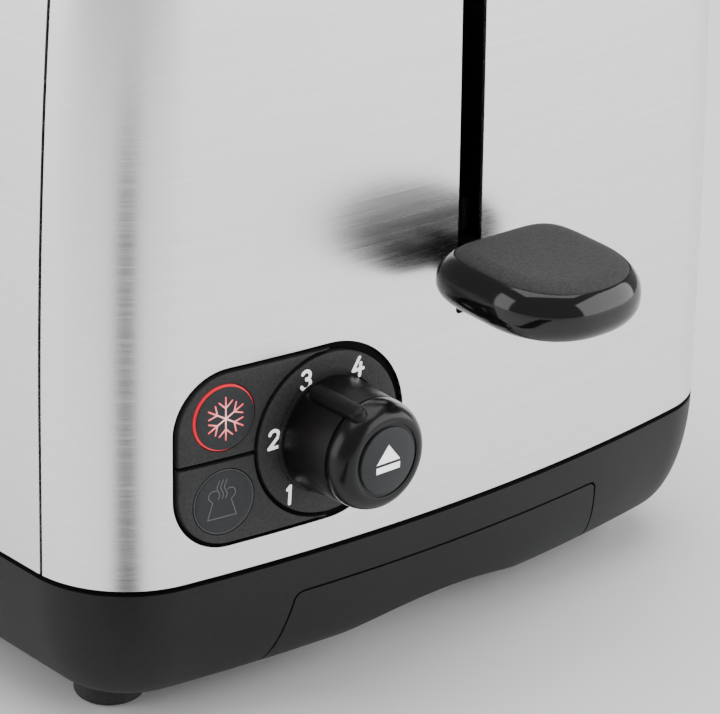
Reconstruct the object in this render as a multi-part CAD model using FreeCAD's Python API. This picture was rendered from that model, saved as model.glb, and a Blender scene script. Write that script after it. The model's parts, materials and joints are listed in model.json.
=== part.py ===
import FreeCAD, Part
import math
import os

# Two-slice pop up toaster.
# Frame: +Z up, the lever and controls face -Y, +X is to the right of someone facing the controls.
# Origin: on the table, under the middle of the overall box (the lever's tip to the rear panel).
# The lever is modelled down, with the carriage held at the bottom of its travel.

V = FreeCAD.Vector
X_AXIS = V(1, 0, 0)
Y_AXIS = V(0, 1, 0)
Z_AXIS = V(0, 0, 1)

# ---------------------------------------------------------------- driving dimensions, mm
# Body
BODY_WIDTH = 180.0
BODY_LENGTH = 286.0
BODY_HEIGHT = 195.0
BOW_RADIUS = 456.0
CORNER_RADIUS = 23.0
SHOULDER_RADIUS = 16.0
SIDE_LEAN = 0.0004
SIDE_LEAN_START = 66.7
END_LEAN = 0.0001
END_LEAN_START = -13.5
SHEET = 0.8
PANEL_SEAM_DEPTH = 26.7
PANEL_SEAM_GAP = 0.8

# Base and feet
FOOT_HEIGHT = 8.0
FOOT_RADIUS = 7.5
FOOT_ROUND = 1.5
FOOT_FROM_SIDE = 21.6
FOOT_FROM_END = 32.5
FOOT_PEG_RADIUS = 2.5
BASE_HEIGHT = 26.8
BASE_TUCK = 10.9
BASE_WALL = 3.0
BASE_FLOOR = 2.5
STEEL_GAP = 1.2
RIM_WALL = 2.0
RIM_HEIGHT = 5.0

# Clearances
FIT = 0.2
RUNNING_FIT = 0.08
SCREW_FIT = 0.05
MOVING_GAP = 0.3

# Allowances for cutting shapes: past a face, out from the body, and as good as touching
OVERCUT = 1.0
CUT_REACH = 10.0
TOUCH = 0.01

# Seam frames, the inner bands that the panels meet on
SEAM_FRAME_SHEET = 1.2
SEAM_FRAME_REACH = 7.0

# Crumb tray
TRAY_HALF_WIDTH = 40.5
TRAY_LENGTH = 228.0
TRAY_DEPTH = 10.0
TRAY_SHEET = 0.8
TRAY_FRONT_SETBACK = 12.5
RAIL_WALL = 1.6
RAIL_HEIGHT = 6.0
HANDLE_TOP_HALF = 43.4
HANDLE_LOW_HALF = 47.0
HANDLE_TOP_DROP = 8.3
HANDLE_WALL = 3.0
HANDLE_GAP = 0.5
HANDLE_CORNER = 2.0
HANDLE_BACK_HALF = 36.0
HANDLE_BACK_RISE = 3.0
HANDLE_BACK_DROP = 4.0
HANDLE_BACK_SETBACK = 4.0
HANDLE_BACK_INSET = 1.0
ARCH_HALF = 33.0
ARCH_RISE = 5.5
FINGER_DEPTH = 30.0

# Controls on the front panel
DIAL_FROM_SIDE = 53.5
DIAL_Z = 61.3
RING_RADIUS = 17.6
BEZEL_FROM_SIDE = 17.6
BEZEL_HALF = 18.7
BEZEL_CORNER = 12.0
BEZEL_GAP = 0.5
BEZEL_MARGIN = 4.0
BEZEL_WALL = 2.0
PLATE_GROOVE = 0.9
PLATE_SETBACK = 0.15
BUTTON_FROM_SIDE = 28.3
BUTTON_SPREAD = 9.05
BUTTON_RADIUS = 6.9
LIGHT_RING_WALL = 0.3
BUTTON_GAP = 0.25
BUTTON_CAP = 4.0
BUTTON_STEM_RADIUS = 2.5
BUTTON_TRAVEL = 1.5
DEFROST_PROUD = 1.0
REHEAT_PROUD = 0.5

# Browning dial and cancel button
KNOB_RADIUS = 12.3
KNOB_RIM_RADIUS = 11.6
KNOB_FACE_RADIUS = 8.4
KNOB_LENGTH = 16.0
KNOB_BARREL = 10.5
KNOB_WALL = 1.6
KNOB_BACK = 1.3
KNOB_WEB_GAP = 1.5
KNOB_WEB_FALL = 1.0
KNOB_RIM_STEPS = 10
SHAFT_END_GAP = 1.0
KNOB_SEAT_BACK = 1.8
KNOB_SEAT_SHEET = 1.4
POINTER_ANGLE = -27.5
POINTER_WIDTH = 3.2
POINTER_RISE = 1.1
POINTER_LENGTH = 10.2
POINTER_OVERLAP = 2.7
CANCEL_RADIUS = 7.1
CANCEL_CAP = 3.0
CANCEL_GAP = 0.7
CANCEL_PROUD = 0.3
CANCEL_TRAVEL = 2.0
DIAL_TUBE_OUTER = 6.5
DIAL_TUBE_WALL = 1.0

# Control board
BOARD_SETBACK = 26.0
BOARD_SHEET = 1.6
BOARD_MARGIN = 3.0
BOARD_POST_RADIUS = 2.6
POST_FROM_LEFT = 3.6
POST_FROM_RIGHT = 7.2
SWITCH_SIZE = 6.0
SWITCH_BODY = 3.5
SWITCH_PLUNGER = 1.6
POT_RADIUS = 11.0
POT_DEPTH = 6.0

# Lever
LEVER_REACH = 40.0
LEVER_HALF_WIDTH = 17.9
LEVER_OFF_PANEL = 3.5
LEVER_THICK = 12.1
LEVER_TOP = 98.1
LEVER_TOP_ROUND = 0.55
LEVER_LOW_ROUND = 0.40
LEVER_FRONT_SQUARENESS = 2.3
LEVER_BACK_SQUARENESS = 5.0
LEVER_TILT = 3.3
LEVER_PLAN_STEPS = 48
LEVER_ROUND_STEPS = 6
INLAY_MARGIN = 2.7
INLAY_DEPTH = 2.6
INLAY_FIT = 0.1
ARM_HALF_THICK = 2.2
ARM_HEIGHT = 8.0
ARM_INTO_LEVER = 14.0
ARM_DROP = 2.0
LEVER_SLOT_WIDTH = 6.6
LEVER_SLOT_BELOW = 7.3
LEVER_SLOT_ABOVE = 2.0
LEVER_TRAVEL = 68.0

# Toasting chamber
CHAMBER_SETBACK = 64.0
SLOT_LENGTH = 155.0
SLOT_WIDTH = 32.0
SLOT_CORNER = 5.0
CHAMBER_MARGIN = 8.0
PLATE_SHEET = 1.0
PLATE_FROM_SIDE = 18.0
PLATE_OVER_FLOOR = 17.5
PLATE_BELOW_TOP = 6.0
FLANGE_DEPTH = 12.0
FLANGE_WIDTH = 22.0
PLATE_ARCH = 8.0
SCREW_FROM_EDGE = 11.0
SCREW_RADIUS = 1.5
SCREW_HEAD_RADIUS = 3.0
SCREW_HEAD = 2.0
SCREW_LENGTH = 10.0
BOSS_RADIUS = 4.0
COLLAR_SHEET = 0.8
COLLAR_DEPTH = 16.0
COLLAR_FLANGE = 3.0
REFLECTOR_FROM_EDGE = 4.0
REFLECTOR_OVER_RIM = 2.0
REFLECTOR_BELOW_TOP = 4.0
REFLECTOR_SHEET = 0.6
REFLECTOR_LIP = 6.0
HEATER_FROM_REFLECTOR = 10.0
HEATER_SHEET = 0.8
HEATER_LOW = 48.0
HEATER_HIGH = 166.0
HEATER_TURNS = 13
TAB_FROM_END = 20.0
TAB_HALF = 4.0
TAB_PROUD = 1.0
RIBBON_WIDTH = 1.6
RIBBON_THICK = 0.3
RIBBON_END_MARGIN = 6.0

# Self-centring bread guards
GUARD_PIVOT_Z = 50.0
GUARD_OFF_CENTRE = 14.5
GUARD_HEIGHT = 116.0
GUARD_ROD = 1.2
GUARD_WIRE = 0.9
GUARD_WIRES = 8
GUARD_TILT = 3.6
GUARD_END_GAP = 1.0
GUARD_PIN_REACH = 3.0

# Carriage
RACK_LOW = 43.0
RACK_HEIGHT = 7.0
RACK_SHEET = 1.0
RACK_BARS = 7
RACK_BAR_RADIUS = 1.0
RACK_BAR_HALF = 8.5
RACK_SLOT_GAP = 0.5
RACK_SLOT_END = 2.0
RACK_PAST_CHAMBER = 6.0
BRACKET_SETBACK = 14.0
BRACKET_SHEET = 1.5
BRACKET_HALF = 12.0
BRACKET_OVERHANG = 4.0
BRACKET_RISE = 6.0
BRACKET_OVER_ARM = 3.0
SWITCH_TAB_RISE = 2.0
EAR_SHEET = 1.0
ROD_X = 17.0
ROD_RADIUS = 2.5
ROD_SETBACK = 20.0
BUSH_WALL = 2.2
BUSH_HEIGHT = 11.0
BUSH_RISE = 3.0
BUSH_LUG_HALF = 2.0
ROD_BRACKET_Z = 180.0
ROD_BRACKET_SHEET = 1.5
TOP_SHELF_MARGIN = 1.0
TOP_SHELF_FRONT = 5.0
FOOT_SHELF_FROM_EDGE = 6.0
FOOT_SHELF_FRONT = 9.0
SHELF_LIP_BELOW_RACK = 3.0
SPRING_X = 27.0
SPRING_RADIUS = 3.0
SPRING_WIRE = 0.5
SPRING_TURNS = 22
SPRING_EAR = 3.0
MAGNET_X = 40.0
MAGNET_HALF = 8.0
MAGNET_HEIGHT = 11.0
MAGNET_DEPTH = 10.0
MAGNET_LEG_HALF = 3.0
MAGNET_YOKE = 3.0
MAGNET_SIDE_LEG = 2.0
COIL_BELOW_TOP = 1.0
KEEPER_SHEET = 2.0
MAINS_SWITCH_X = -50.0
MAINS_SWITCH_HALF = 8.0
MAINS_SWITCH_DEPTH = 9.0
MAINS_SWITCH_HEIGHT = 13.0
MAINS_SWITCH_BEHIND = 1.0
LEAF_WIDTH = 4.0
LEAF_SETBACK = 2.0

# Cord entry and terminals
GLAND_FROM_SIDE = 40.0
GLAND_RADIUS = 6.5
GLAND_BORE = 3.6
GLAND_FLANGE = 2.0
GLAND_SETBACK = 17.5
GLAND_LENGTH = 14.5
TERMINAL_WIDTH = 34.0
TERMINAL_DEPTH = 16.0
TERMINAL_HEIGHT = 13.0
TERMINAL_FROM_END = 40.0
TERMINAL_WAYS = 3

# ---------------------------------------------------------------- values worked out from them
FRONT = (LEVER_REACH - BODY_LENGTH) / 2.0
REAR = FRONT + BODY_LENGTH
MIDDLE = (FRONT + REAR) / 2.0
SIDE = BODY_WIDTH / 2.0
BOW_DEPTH = SIDE ** 2 / (2.0 * BOW_RADIUS)
BASE_TOP = FOOT_HEIGHT + BASE_HEIGHT
FLOOR_TOP = FOOT_HEIGHT + BASE_FLOOR
FLOOR_MIDDLE = FOOT_HEIGHT + BASE_FLOOR / 2.0
FOOT_X = SIDE - FOOT_FROM_SIDE
GLAND_X = GLAND_FROM_SIDE - SIDE
STEEL_LOW = BASE_TOP + STEEL_GAP
FRAME_INSET = SHEET + FIT
RIM_INSET = FRAME_INSET + SEAM_FRAME_SHEET + FIT
SEAM_FRONT = FRONT + PANEL_SEAM_DEPTH
SEAM_REAR = REAR - PANEL_SEAM_DEPTH

CHAMBER_FRONT = FRONT + CHAMBER_SETBACK
CHAMBER_REAR = CHAMBER_FRONT + SLOT_LENGTH + 2.0 * CHAMBER_MARGIN
CHAMBER_MIDDLE = (CHAMBER_FRONT + CHAMBER_REAR) / 2.0
PLATE_LOW = FLOOR_TOP + PLATE_OVER_FLOOR
PLATE_TOP = BODY_HEIGHT - SHEET - PLATE_BELOW_TOP
PLATE_HALF_WIDTH = SIDE - PLATE_FROM_SIDE
SHELF_TOP = PLATE_LOW + PLATE_SHEET
FLANGE_INNER = PLATE_HALF_WIDTH - FLANGE_WIDTH
SCREW_X = PLATE_HALF_WIDTH - SCREW_FROM_EDGE
REFLECTOR_X = PLATE_HALF_WIDTH - REFLECTOR_FROM_EDGE
HEATER_X = REFLECTOR_X - HEATER_FROM_REFLECTOR
SLOT_SPACING = HEATER_X
SLOT_CENTRES = {"left": -SLOT_SPACING / 2.0, "right": SLOT_SPACING / 2.0}

BRACKET_Y = CHAMBER_FRONT - BRACKET_SETBACK
ROD_Y = CHAMBER_FRONT - ROD_SETBACK
RACK_TOP = RACK_LOW + RACK_HEIGHT
BRACKET_TOP = RACK_TOP + BRACKET_RISE
SWITCH_TAB_LOW = RACK_TOP + SWITCH_TAB_RISE
LEVER_LENGTH = LEVER_REACH - LEVER_OFF_PANEL
LEVER_MIDDLE_Y = FRONT - LEVER_OFF_PANEL - LEVER_LENGTH / 2.0
LEVER_MIDDLE_Z = LEVER_TOP - LEVER_THICK / 2.0
ARM_LOW = LEVER_MIDDLE_Z - ARM_DROP - ARM_HEIGHT / 2.0
ARM_TOP = ARM_LOW + ARM_HEIGHT
LEVER_SLOT_LOW = ARM_LOW - LEVER_SLOT_BELOW
LEVER_SLOT_TOP = ARM_TOP + LEVER_TRAVEL + LEVER_SLOT_ABOVE

DIAL_X = DIAL_FROM_SIDE - SIDE
BUTTON_X = BUTTON_FROM_SIDE - SIDE
BEZEL_LEFT = SIDE - BEZEL_FROM_SIDE
BOARD_Y = FRONT + BOARD_SETBACK
BUTTON_HOLE = BUTTON_RADIUS + LIGHT_RING_WALL + BUTTON_GAP
DIAL_BORE = DIAL_TUBE_OUTER - DIAL_TUBE_WALL
MAGNET_Y = ROD_Y
KEEPER_LOW = RACK_LOW
MAGNET_TOP = KEEPER_LOW - MOVING_GAP
TRAY_LOW = FLOOR_TOP + MOVING_GAP
TRAY_FRONT = FRONT + TRAY_FRONT_SETBACK


# ---------------------------------------------------------------- small shape helpers
def box(x0, x1, y0, y1, z0, z1):
    return Part.makeBox(x1 - x0, y1 - y0, z1 - z0, V(x0, y0, z0))


def rod(radius, start, length, axis):
    return Part.makeCylinder(radius, length, start, axis)


def tube(outer, inner, start, length, axis):
    return rod(outer, start, length, axis).cut(rod(inner, start, length, axis))


def fuse(shapes):
    return shapes[0].multiFuse(shapes[1:]).removeSplitter()


def mirrored(shape):
    return shape.mirror(V(0, 0, 0), X_AXIS)


def end_mirrored(shape):
    return shape.mirror(V(0, MIDDLE, 0), Y_AXIS)


def prism_y(wire, y0, y1):
    """A solid swept along +Y from a closed wire drawn on the y = 0 plane."""
    face = Part.Face(wire)
    face.translate(V(0, y0, 0))
    return face.extrude(V(0, y1 - y0, 0))


def prism_z(wire, z0, z1):
    """A solid swept along +Z from a closed wire drawn on the z = 0 plane."""
    face = Part.Face(wire)
    face.translate(V(0, 0, z0))
    return face.extrude(V(0, 0, z1 - z0))


def rounded_rectangle(half_x, half_y, radius, centre=V(0, 0, 0)):
    """A closed wire on the z = 0 plane."""
    corners = [V(half_x, half_y, 0), V(-half_x, half_y, 0), V(-half_x, -half_y, 0), V(half_x, -half_y, 0)]
    edges = []
    for i, corner in enumerate(corners):
        before = (corners[i - 1] - corner).normalize() * radius
        after = (corners[(i + 1) % 4] - corner).normalize() * radius
        middle = corner + (before + after) * (1.0 - math.sqrt(0.5))
        points = [centre + corner + before, centre + middle, centre + corner + after]
        edges.append(Part.Arc(*points).toShape())
        far = corners[(i + 1) % 4] - after
        edges.append(Part.makeLine(points[2], centre + far))
    return Part.Wire(Part.__sortEdges__(edges))


# ---------------------------------------------------------------- the body's curved form
def side_lean(z):
    """How far each side has leant in at a height."""
    return SIDE_LEAN * max(0.0, z - SIDE_LEAN_START) ** 2


def end_lean(z):
    """How far each end has leant back at a height."""
    return END_LEAN * ((z - END_LEAN_START) ** 2 - (BASE_TOP - END_LEAN_START) ** 2)


def outline(z, inset, lean=True):
    """The plan outline at a height, moved inwards by inset: bowed ends, round corners, straight sides."""
    lean_x = side_lean(z) if lean else 0.0
    lean_y = end_lean(z) if lean else 0.0
    half_width = BODY_WIDTH / 2.0 - lean_x - inset
    half_length = BODY_LENGTH / 2.0 - lean_y - inset
    bow = BOW_RADIUS - inset
    corner = CORNER_RADIUS - inset
    corner_x = half_width - corner
    turn = math.asin(corner_x / (bow - corner))
    bow_y = bow - half_length
    corner_y = bow_y - (bow - corner) * math.cos(turn)

    def on_bow(angle):
        return bow * math.sin(angle), bow_y - bow * math.cos(angle)

    def on_corner(angle):
        return corner_x + corner * math.sin(angle), corner_y - corner * math.cos(angle)

    def point(x, y):
        return V(x, MIDDLE + y, z)

    right = math.pi / 2.0
    half = (turn + right) / 2.0
    edges = []
    for sy in (1, -1):
        (ax, ay), (bx, by), (cx, cy) = on_bow(turn), on_corner(half), on_corner(right)
        sx = sy
        crown = point(0, sy * (bow_y - bow))
        edges.append(Part.Arc(point(-sx * ax, sy * ay), crown, point(sx * ax, sy * ay)))
        edges.append(Part.Arc(point(sx * ax, sy * ay), point(sx * bx, sy * by), point(sx * cx, sy * cy)))
        edges.append(Part.LineSegment(point(sx * cx, sy * cy), point(sx * cx, -sy * cy)))
        edges.append(Part.Arc(point(sx * cx, -sy * cy), point(sx * bx, -sy * by), point(sx * ax, -sy * ay)))
    return Part.Wire([edge.toShape() for edge in edges])


def upright_prism(inset, z0, z1):
    """A straight-sided block of the seam outline, moved inwards by inset."""
    return Part.Face(outline(z0, inset, lean=False)).extrude(V(0, 0, z1 - z0))


def body_form(inset, low):
    """The body above the base, moved inwards by inset, with its top edge rounded."""
    sections = 5
    top = BODY_HEIGHT - inset
    heights = [low + (top - low) * i / (sections - 1) for i in range(sections)]
    solid = Part.makeLoft([outline(z, inset) for z in heights], True, False)
    rim = [edge for edge in solid.Edges if edge.BoundBox.ZMin > top - TOUCH]
    return solid.makeFillet(SHOULDER_RADIUS - inset, rim)


def body_layer(outer_inset, inner_inset, low):
    """The skin between two insets of the body form."""
    return body_form(outer_inset, low).cut(body_form(inner_inset, low - OVERCUT))


def base_inset(z):
    """How far the base has tucked under at a height: a quarter ellipse."""
    share = min(1.0, (BASE_TOP - z) / BASE_HEIGHT)
    return BASE_TUCK * (1.0 - math.sqrt(1.0 - share * share))


def base_form(extra_inset, low):
    """The base's outer form, moved inwards, from a height up to the seam."""
    shares = (0.0, 0.2, 0.4, 0.6, 0.75, 0.88, 0.96, 1.0)
    heights = [low + (BASE_TOP - low) * (1.0 - share) for share in shares]
    wires = [outline(z, base_inset(z) + extra_inset, lean=False) for z in reversed(heights)]
    return Part.makeLoft(wires, True, False)


# ---------------------------------------------------------------- outer shells
def lever_slot():
    half = LEVER_SLOT_WIDTH / 2.0
    return box(-half, half, FRONT - CUT_REACH, BRACKET_Y, LEVER_SLOT_LOW, LEVER_SLOT_TOP)


def bread_slot(side, clearance, z0, z1):
    centre = V(SLOT_CENTRES[side], CHAMBER_MIDDLE, 0)
    half_x = SLOT_WIDTH / 2.0 + clearance
    half_y = SLOT_LENGTH / 2.0 + clearance
    return prism_z(rounded_rectangle(half_x, half_y, SLOT_CORNER + clearance, centre), z0, z1)


def end_slice(y_limit):
    """Everything from in front of the body back to a plane."""
    reach = BODY_WIDTH
    return box(-reach, reach, FRONT - reach, y_limit, 0, 2 * BODY_HEIGHT)


def end_panel(steel):
    return steel.common(end_slice(SEAM_FRONT - PANEL_SEAM_GAP / 2.0))


def front_end_panel(steel):
    return end_panel(steel).cut(lever_slot()).cut(bezel_prism(BEZEL_GAP))


def rear_end_panel(steel):
    return end_mirrored(end_panel(steel))


def outer_cover(steel):
    half_gap = PANEL_SEAM_GAP / 2.0
    reach = BODY_WIDTH
    cover = steel.common(box(-reach, reach, SEAM_FRONT + half_gap, SEAM_REAR - half_gap, 0, 2 * BODY_HEIGHT))
    for side in SLOT_CENTRES:
        cover = cover.cut(bread_slot(side, 0.0, BODY_HEIGHT - SHOULDER_RADIUS, BODY_HEIGHT + OVERCUT))
    return cover


def seam_frames():
    """The bands inside the two panel seams, which the panels are fixed to."""
    band = body_layer(FRAME_INSET, FRAME_INSET + SEAM_FRAME_SHEET, STEEL_LOW + FIT)
    reach = BODY_WIDTH
    y0, y1 = SEAM_FRONT - SEAM_FRAME_REACH, SEAM_FRONT + SEAM_FRAME_REACH
    front = band.common(box(-reach, reach, y0, y1, 0, 2 * BODY_HEIGHT))
    return front, end_mirrored(front)


def slot_collar(side):
    """The folded steel lining of a bread slot, with a flange under the cover."""
    under_cover = BODY_HEIGHT - SHEET
    low = BODY_HEIGHT - COLLAR_DEPTH
    wall = bread_slot(side, -FIT, low, BODY_HEIGHT)
    flange = bread_slot(side, COLLAR_FLANGE, under_cover - COLLAR_SHEET, under_cover)
    hole = bread_slot(side, -FIT - COLLAR_SHEET, low - OVERCUT, BODY_HEIGHT + OVERCUT)
    return wall.fuse(flange).cut(hole).removeSplitter()


# ---------------------------------------------------------------- base, feet and crumb tray
def foot_centres():
    ys = (FRONT + FOOT_FROM_END, REAR - FOOT_FROM_END)
    return [V(sx * FOOT_X, y, 0) for sx in (-1, 1) for y in ys]


def rubber_feet():
    feet = []
    for centre in foot_centres():
        pad = rod(FOOT_RADIUS, centre, FOOT_HEIGHT, Z_AXIS)
        low = [edge for edge in pad.Edges if edge.BoundBox.ZMax < TOUCH and edge.Closed]
        pad = pad.makeFillet(FOOT_ROUND, low)
        peg = rod(FOOT_PEG_RADIUS, centre, FLOOR_TOP, Z_AXIS)
        feet.append(pad.fuse(peg).removeSplitter())
    return Part.Compound(feet)


def screw_points():
    """Where the chassis plates' flanges are screwed down."""
    ys = (CHAMBER_FRONT - FLANGE_DEPTH / 2.0, CHAMBER_REAR + FLANGE_DEPTH / 2.0)
    return [V(sx * SCREW_X, y, PLATE_LOW) for sx in (-1, 1) for y in ys]


def handle_wire(gap):
    """The tray handle's outline on the y = 0 plane: a trapezium with rounded upper corners."""
    top = BASE_TOP - HANDLE_TOP_DROP + gap
    low = FOOT_HEIGHT - OVERCUT
    top_half = HANDLE_TOP_HALF + gap
    low_half = HANDLE_LOW_HALF + gap
    radius = HANDLE_CORNER + gap
    slope = V(low_half - top_half, 0, low - top).normalize() * radius
    corner = V(top_half, 0, top)
    along = corner - V(radius, 0, 0)
    down = corner + slope
    mid = corner + (along - corner + down - corner) * (1.0 - math.sqrt(0.5))
    low_corner = V(low_half, 0, low)

    def flip(point):
        return V(-point.x, 0, point.z)

    edges = [
        Part.makeLine(flip(along), along),
        Part.Arc(along, mid, down).toShape(),
        Part.makeLine(down, low_corner),
        Part.makeLine(low_corner, flip(low_corner)),
        Part.makeLine(flip(low_corner), flip(down)),
        Part.Arc(flip(down), flip(mid), flip(along)).toShape(),
    ]
    return Part.Wire(edges)


def finger_arch(y1):
    """The shallow arch under the handle where fingers reach in."""
    low = FOOT_HEIGHT - 2.0 * OVERCUT
    left, right = V(-ARCH_HALF, 0, low), V(ARCH_HALF, 0, low)
    arc = Part.Arc(left, V(0, 0, FOOT_HEIGHT + ARCH_RISE), right).toShape()
    return prism_y(Part.Wire([arc, Part.makeLine(right, left)]), FRONT - CUT_REACH, y1)


def tray_rails():
    """Two ridges on the floor that keep the crumb tray straight."""
    inner = TRAY_HALF_WIDTH + FIT
    y0, y1 = FRONT + FINGER_DEPTH, TRAY_FRONT + TRAY_LENGTH
    rail = box(inner, inner + RAIL_WALL, y0, y1, FLOOR_MIDDLE, FLOOR_TOP + RAIL_HEIGHT)
    return [rail, mirrored(rail)]


def base_moulding():
    outer = base_form(0.0, FOOT_HEIGHT)
    cavity = base_form(BASE_WALL, FLOOR_TOP)
    rim_low, rim_high = BASE_TOP - RIM_HEIGHT, BASE_TOP + RIM_HEIGHT
    rim = upright_prism(RIM_INSET, rim_low, rim_high)
    rim = rim.cut(upright_prism(RIM_INSET + RIM_WALL, rim_low - OVERCUT, rim_high + OVERCUT))
    shell = outer.cut(cavity).fuse(rim)
    bosses = [rod(BOSS_RADIUS, V(p.x, p.y, FLOOR_MIDDLE), PLATE_LOW - FLOOR_MIDDLE, Z_AXIS)
              for p in screw_points()]
    shell = shell.multiFuse(bosses + tray_rails())
    depth = SCREW_LENGTH + SCREW_FIT
    bore = SCREW_RADIUS + SCREW_FIT
    cuts = [rod(bore, p - V(0, 0, depth), depth + OVERCUT, Z_AXIS) for p in screw_points()]
    cuts += [rod(FOOT_PEG_RADIUS, c, FLOOR_TOP + OVERCUT, Z_AXIS) for c in foot_centres()]
    cuts.append(prism_y(handle_wire(HANDLE_GAP), FRONT - CUT_REACH, TRAY_FRONT + OVERCUT))
    cuts.append(finger_arch(FRONT + FINGER_DEPTH))
    gland_hole = V(GLAND_X, REAR - GLAND_SETBACK, gland_z())
    cuts.append(rod(GLAND_RADIUS + SCREW_FIT, gland_hole, 2 * GLAND_SETBACK, Y_AXIS))
    return shell.cut(Part.Compound(cuts)).removeSplitter()


def crumb_tray_handle():
    skin = base_form(0.0, FOOT_HEIGHT).cut(base_form(HANDLE_WALL, FOOT_HEIGHT + HANDLE_WALL))
    skin = skin.common(prism_y(handle_wire(0.0), FRONT - CUT_REACH, TRAY_FRONT))
    low, top = TRAY_LOW + HANDLE_BACK_RISE, BASE_TOP - HANDLE_TOP_DROP - HANDLE_BACK_DROP
    y0, y1 = FRONT + HANDLE_BACK_SETBACK, TRAY_FRONT
    back = box(-HANDLE_BACK_HALF, HANDLE_BACK_HALF, y0, y1, low, top)
    back = back.common(base_form(HANDLE_BACK_INSET, FOOT_HEIGHT + HANDLE_BACK_INSET))
    return skin.fuse(back).cut(finger_arch(TRAY_FRONT + OVERCUT)).removeSplitter()


def crumb_tray_pan():
    y0, y1 = TRAY_FRONT, TRAY_FRONT + TRAY_LENGTH
    pan = box(-TRAY_HALF_WIDTH, TRAY_HALF_WIDTH, y0, y1, TRAY_LOW, TRAY_LOW + TRAY_DEPTH)
    inner = TRAY_HALF_WIDTH - TRAY_SHEET
    floor = TRAY_LOW + TRAY_SHEET
    hollow = box(-inner, inner, y0 + TRAY_SHEET, y1 - TRAY_SHEET, floor, TRAY_LOW + TRAY_DEPTH + OVERCUT)
    return pan.cut(hollow)


# ---------------------------------------------------------------- cord entry and terminals
def gland_z():
    return FLOOR_TOP + GLAND_RADIUS + GLAND_FLANGE + FIT


def cord_gland():
    """The bushing that the mains cord leaves through, seated in the base's rear wall."""
    start = V(GLAND_X, REAR - GLAND_SETBACK, gland_z())
    inner_flange = rod(GLAND_RADIUS + GLAND_FLANGE, start, GLAND_FLANGE, Y_AXIS)
    body = rod(GLAND_RADIUS, start, GLAND_LENGTH, Y_AXIS)
    bore = rod(GLAND_BORE, start - V(0, OVERCUT, 0), GLAND_LENGTH + 2 * OVERCUT, Y_AXIS)
    return inner_flange.fuse(body).cut(bore).removeSplitter()


def terminal_block():
    y = REAR - TERMINAL_FROM_END
    half = TERMINAL_WIDTH / 2.0
    block = box(-half, half, y, y + TERMINAL_DEPTH, FLOOR_TOP, FLOOR_TOP + TERMINAL_HEIGHT)
    pitch = TERMINAL_WIDTH / TERMINAL_WAYS
    for i in range(TERMINAL_WAYS):
        x = -half + pitch * (i + 0.5)
        well = V(x, y + TERMINAL_DEPTH / 2.0, FLOOR_TOP + TERMINAL_HEIGHT / 2.0)
        block = block.cut(rod(pitch / 4.0, well, TERMINAL_HEIGHT, Z_AXIS))
    return block


# ---------------------------------------------------------------- controls
def bezel_wire(grow):
    """The control plate's outline on the y = 0 plane: a rounded box that ends in the ring's half circle."""
    half = BEZEL_HALF + grow
    left = -BEZEL_LEFT - grow
    radius = BEZEL_CORNER + grow
    ease = radius * math.sqrt(0.5)
    top, low = DIAL_Z + half, DIAL_Z - half

    def p(x, z):
        return V(x, 0, z)

    cx = left + radius
    top_c, low_c = top - radius, low + radius
    edges = [
        Part.Arc(p(DIAL_X, low), p(DIAL_X + half, DIAL_Z), p(DIAL_X, top)).toShape(),
        Part.makeLine(p(DIAL_X, top), p(cx, top)),
        Part.Arc(p(cx, top), p(cx - ease, top_c + ease), p(left, top_c)).toShape(),
        Part.makeLine(p(left, top_c), p(left, low_c)),
        Part.Arc(p(left, low_c), p(cx - ease, low_c - ease), p(cx, low)).toShape(),
        Part.makeLine(p(cx, low), p(DIAL_X, low)),
    ]
    return Part.Wire(edges)


def bezel_prism(grow):
    return prism_y(bezel_wire(grow), FRONT - CUT_REACH, BOARD_Y)


def button_z(name):
    return DIAL_Z + BUTTON_SPREAD if name == "defrost" else DIAL_Z - BUTTON_SPREAD


def button_axis(name, radius):
    return rod(radius, V(BUTTON_X, FRONT - CUT_REACH, button_z(name)), BOARD_SETBACK + CUT_REACH, Y_AXIS)


def dial_axis(radius):
    return rod(radius, V(DIAL_X, FRONT - CUT_REACH, DIAL_Z), BOARD_SETBACK + CUT_REACH, Y_AXIS)


def board_posts():
    """Two rows of posts that hold the board behind the bezel."""
    left, right = POST_FROM_LEFT - BEZEL_LEFT, DIAL_X + BEZEL_HALF - POST_FROM_RIGHT
    offset = BEZEL_HALF - BOARD_POST_RADIUS
    return [V(x, 0, DIAL_Z + sz * offset) for x in (left, right) for sz in (-1, 1)]


def control_bezel():
    """The black carrier behind the steel that holds the plates, the ring and the board."""
    low = STEEL_LOW
    inset = SHEET + FIT
    shell = body_layer(inset, inset + BEZEL_WALL, low).common(bezel_prism(BEZEL_MARGIN))
    inner = body_form(inset + BEZEL_WALL / 2.0, low)
    posts = []
    for p in board_posts():
        start = V(p.x, FRONT, p.z)
        posts.append(rod(BOARD_POST_RADIUS, start, BOARD_SETBACK, Y_AXIS).common(inner))
    bezel = shell.multiFuse(posts)
    for name in ("defrost", "reheat"):
        bezel = bezel.cut(button_axis(name, BUTTON_HOLE))
    bezel = bezel.cut(dial_axis(KNOB_RADIUS + MOVING_GAP + FIT))
    reach = BODY_WIDTH
    rim_top = BASE_TOP + RIM_HEIGHT + FIT
    bezel = bezel.cut(box(-reach, reach, FRONT - CUT_REACH, BOARD_Y + CUT_REACH, 0, rim_top))
    for p in board_posts():
        start = V(p.x, BOARD_Y - SCREW_LENGTH, p.z)
        bezel = bezel.cut(rod(SCREW_RADIUS + SCREW_FIT, start, SCREW_LENGTH + OVERCUT, Y_AXIS))
    return bezel.removeSplitter()


def face_layer():
    """The thin skin that the button plates and the number ring are cut from."""
    return body_layer(PLATE_SETBACK, SHEET + FIT, STEEL_LOW)


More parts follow.
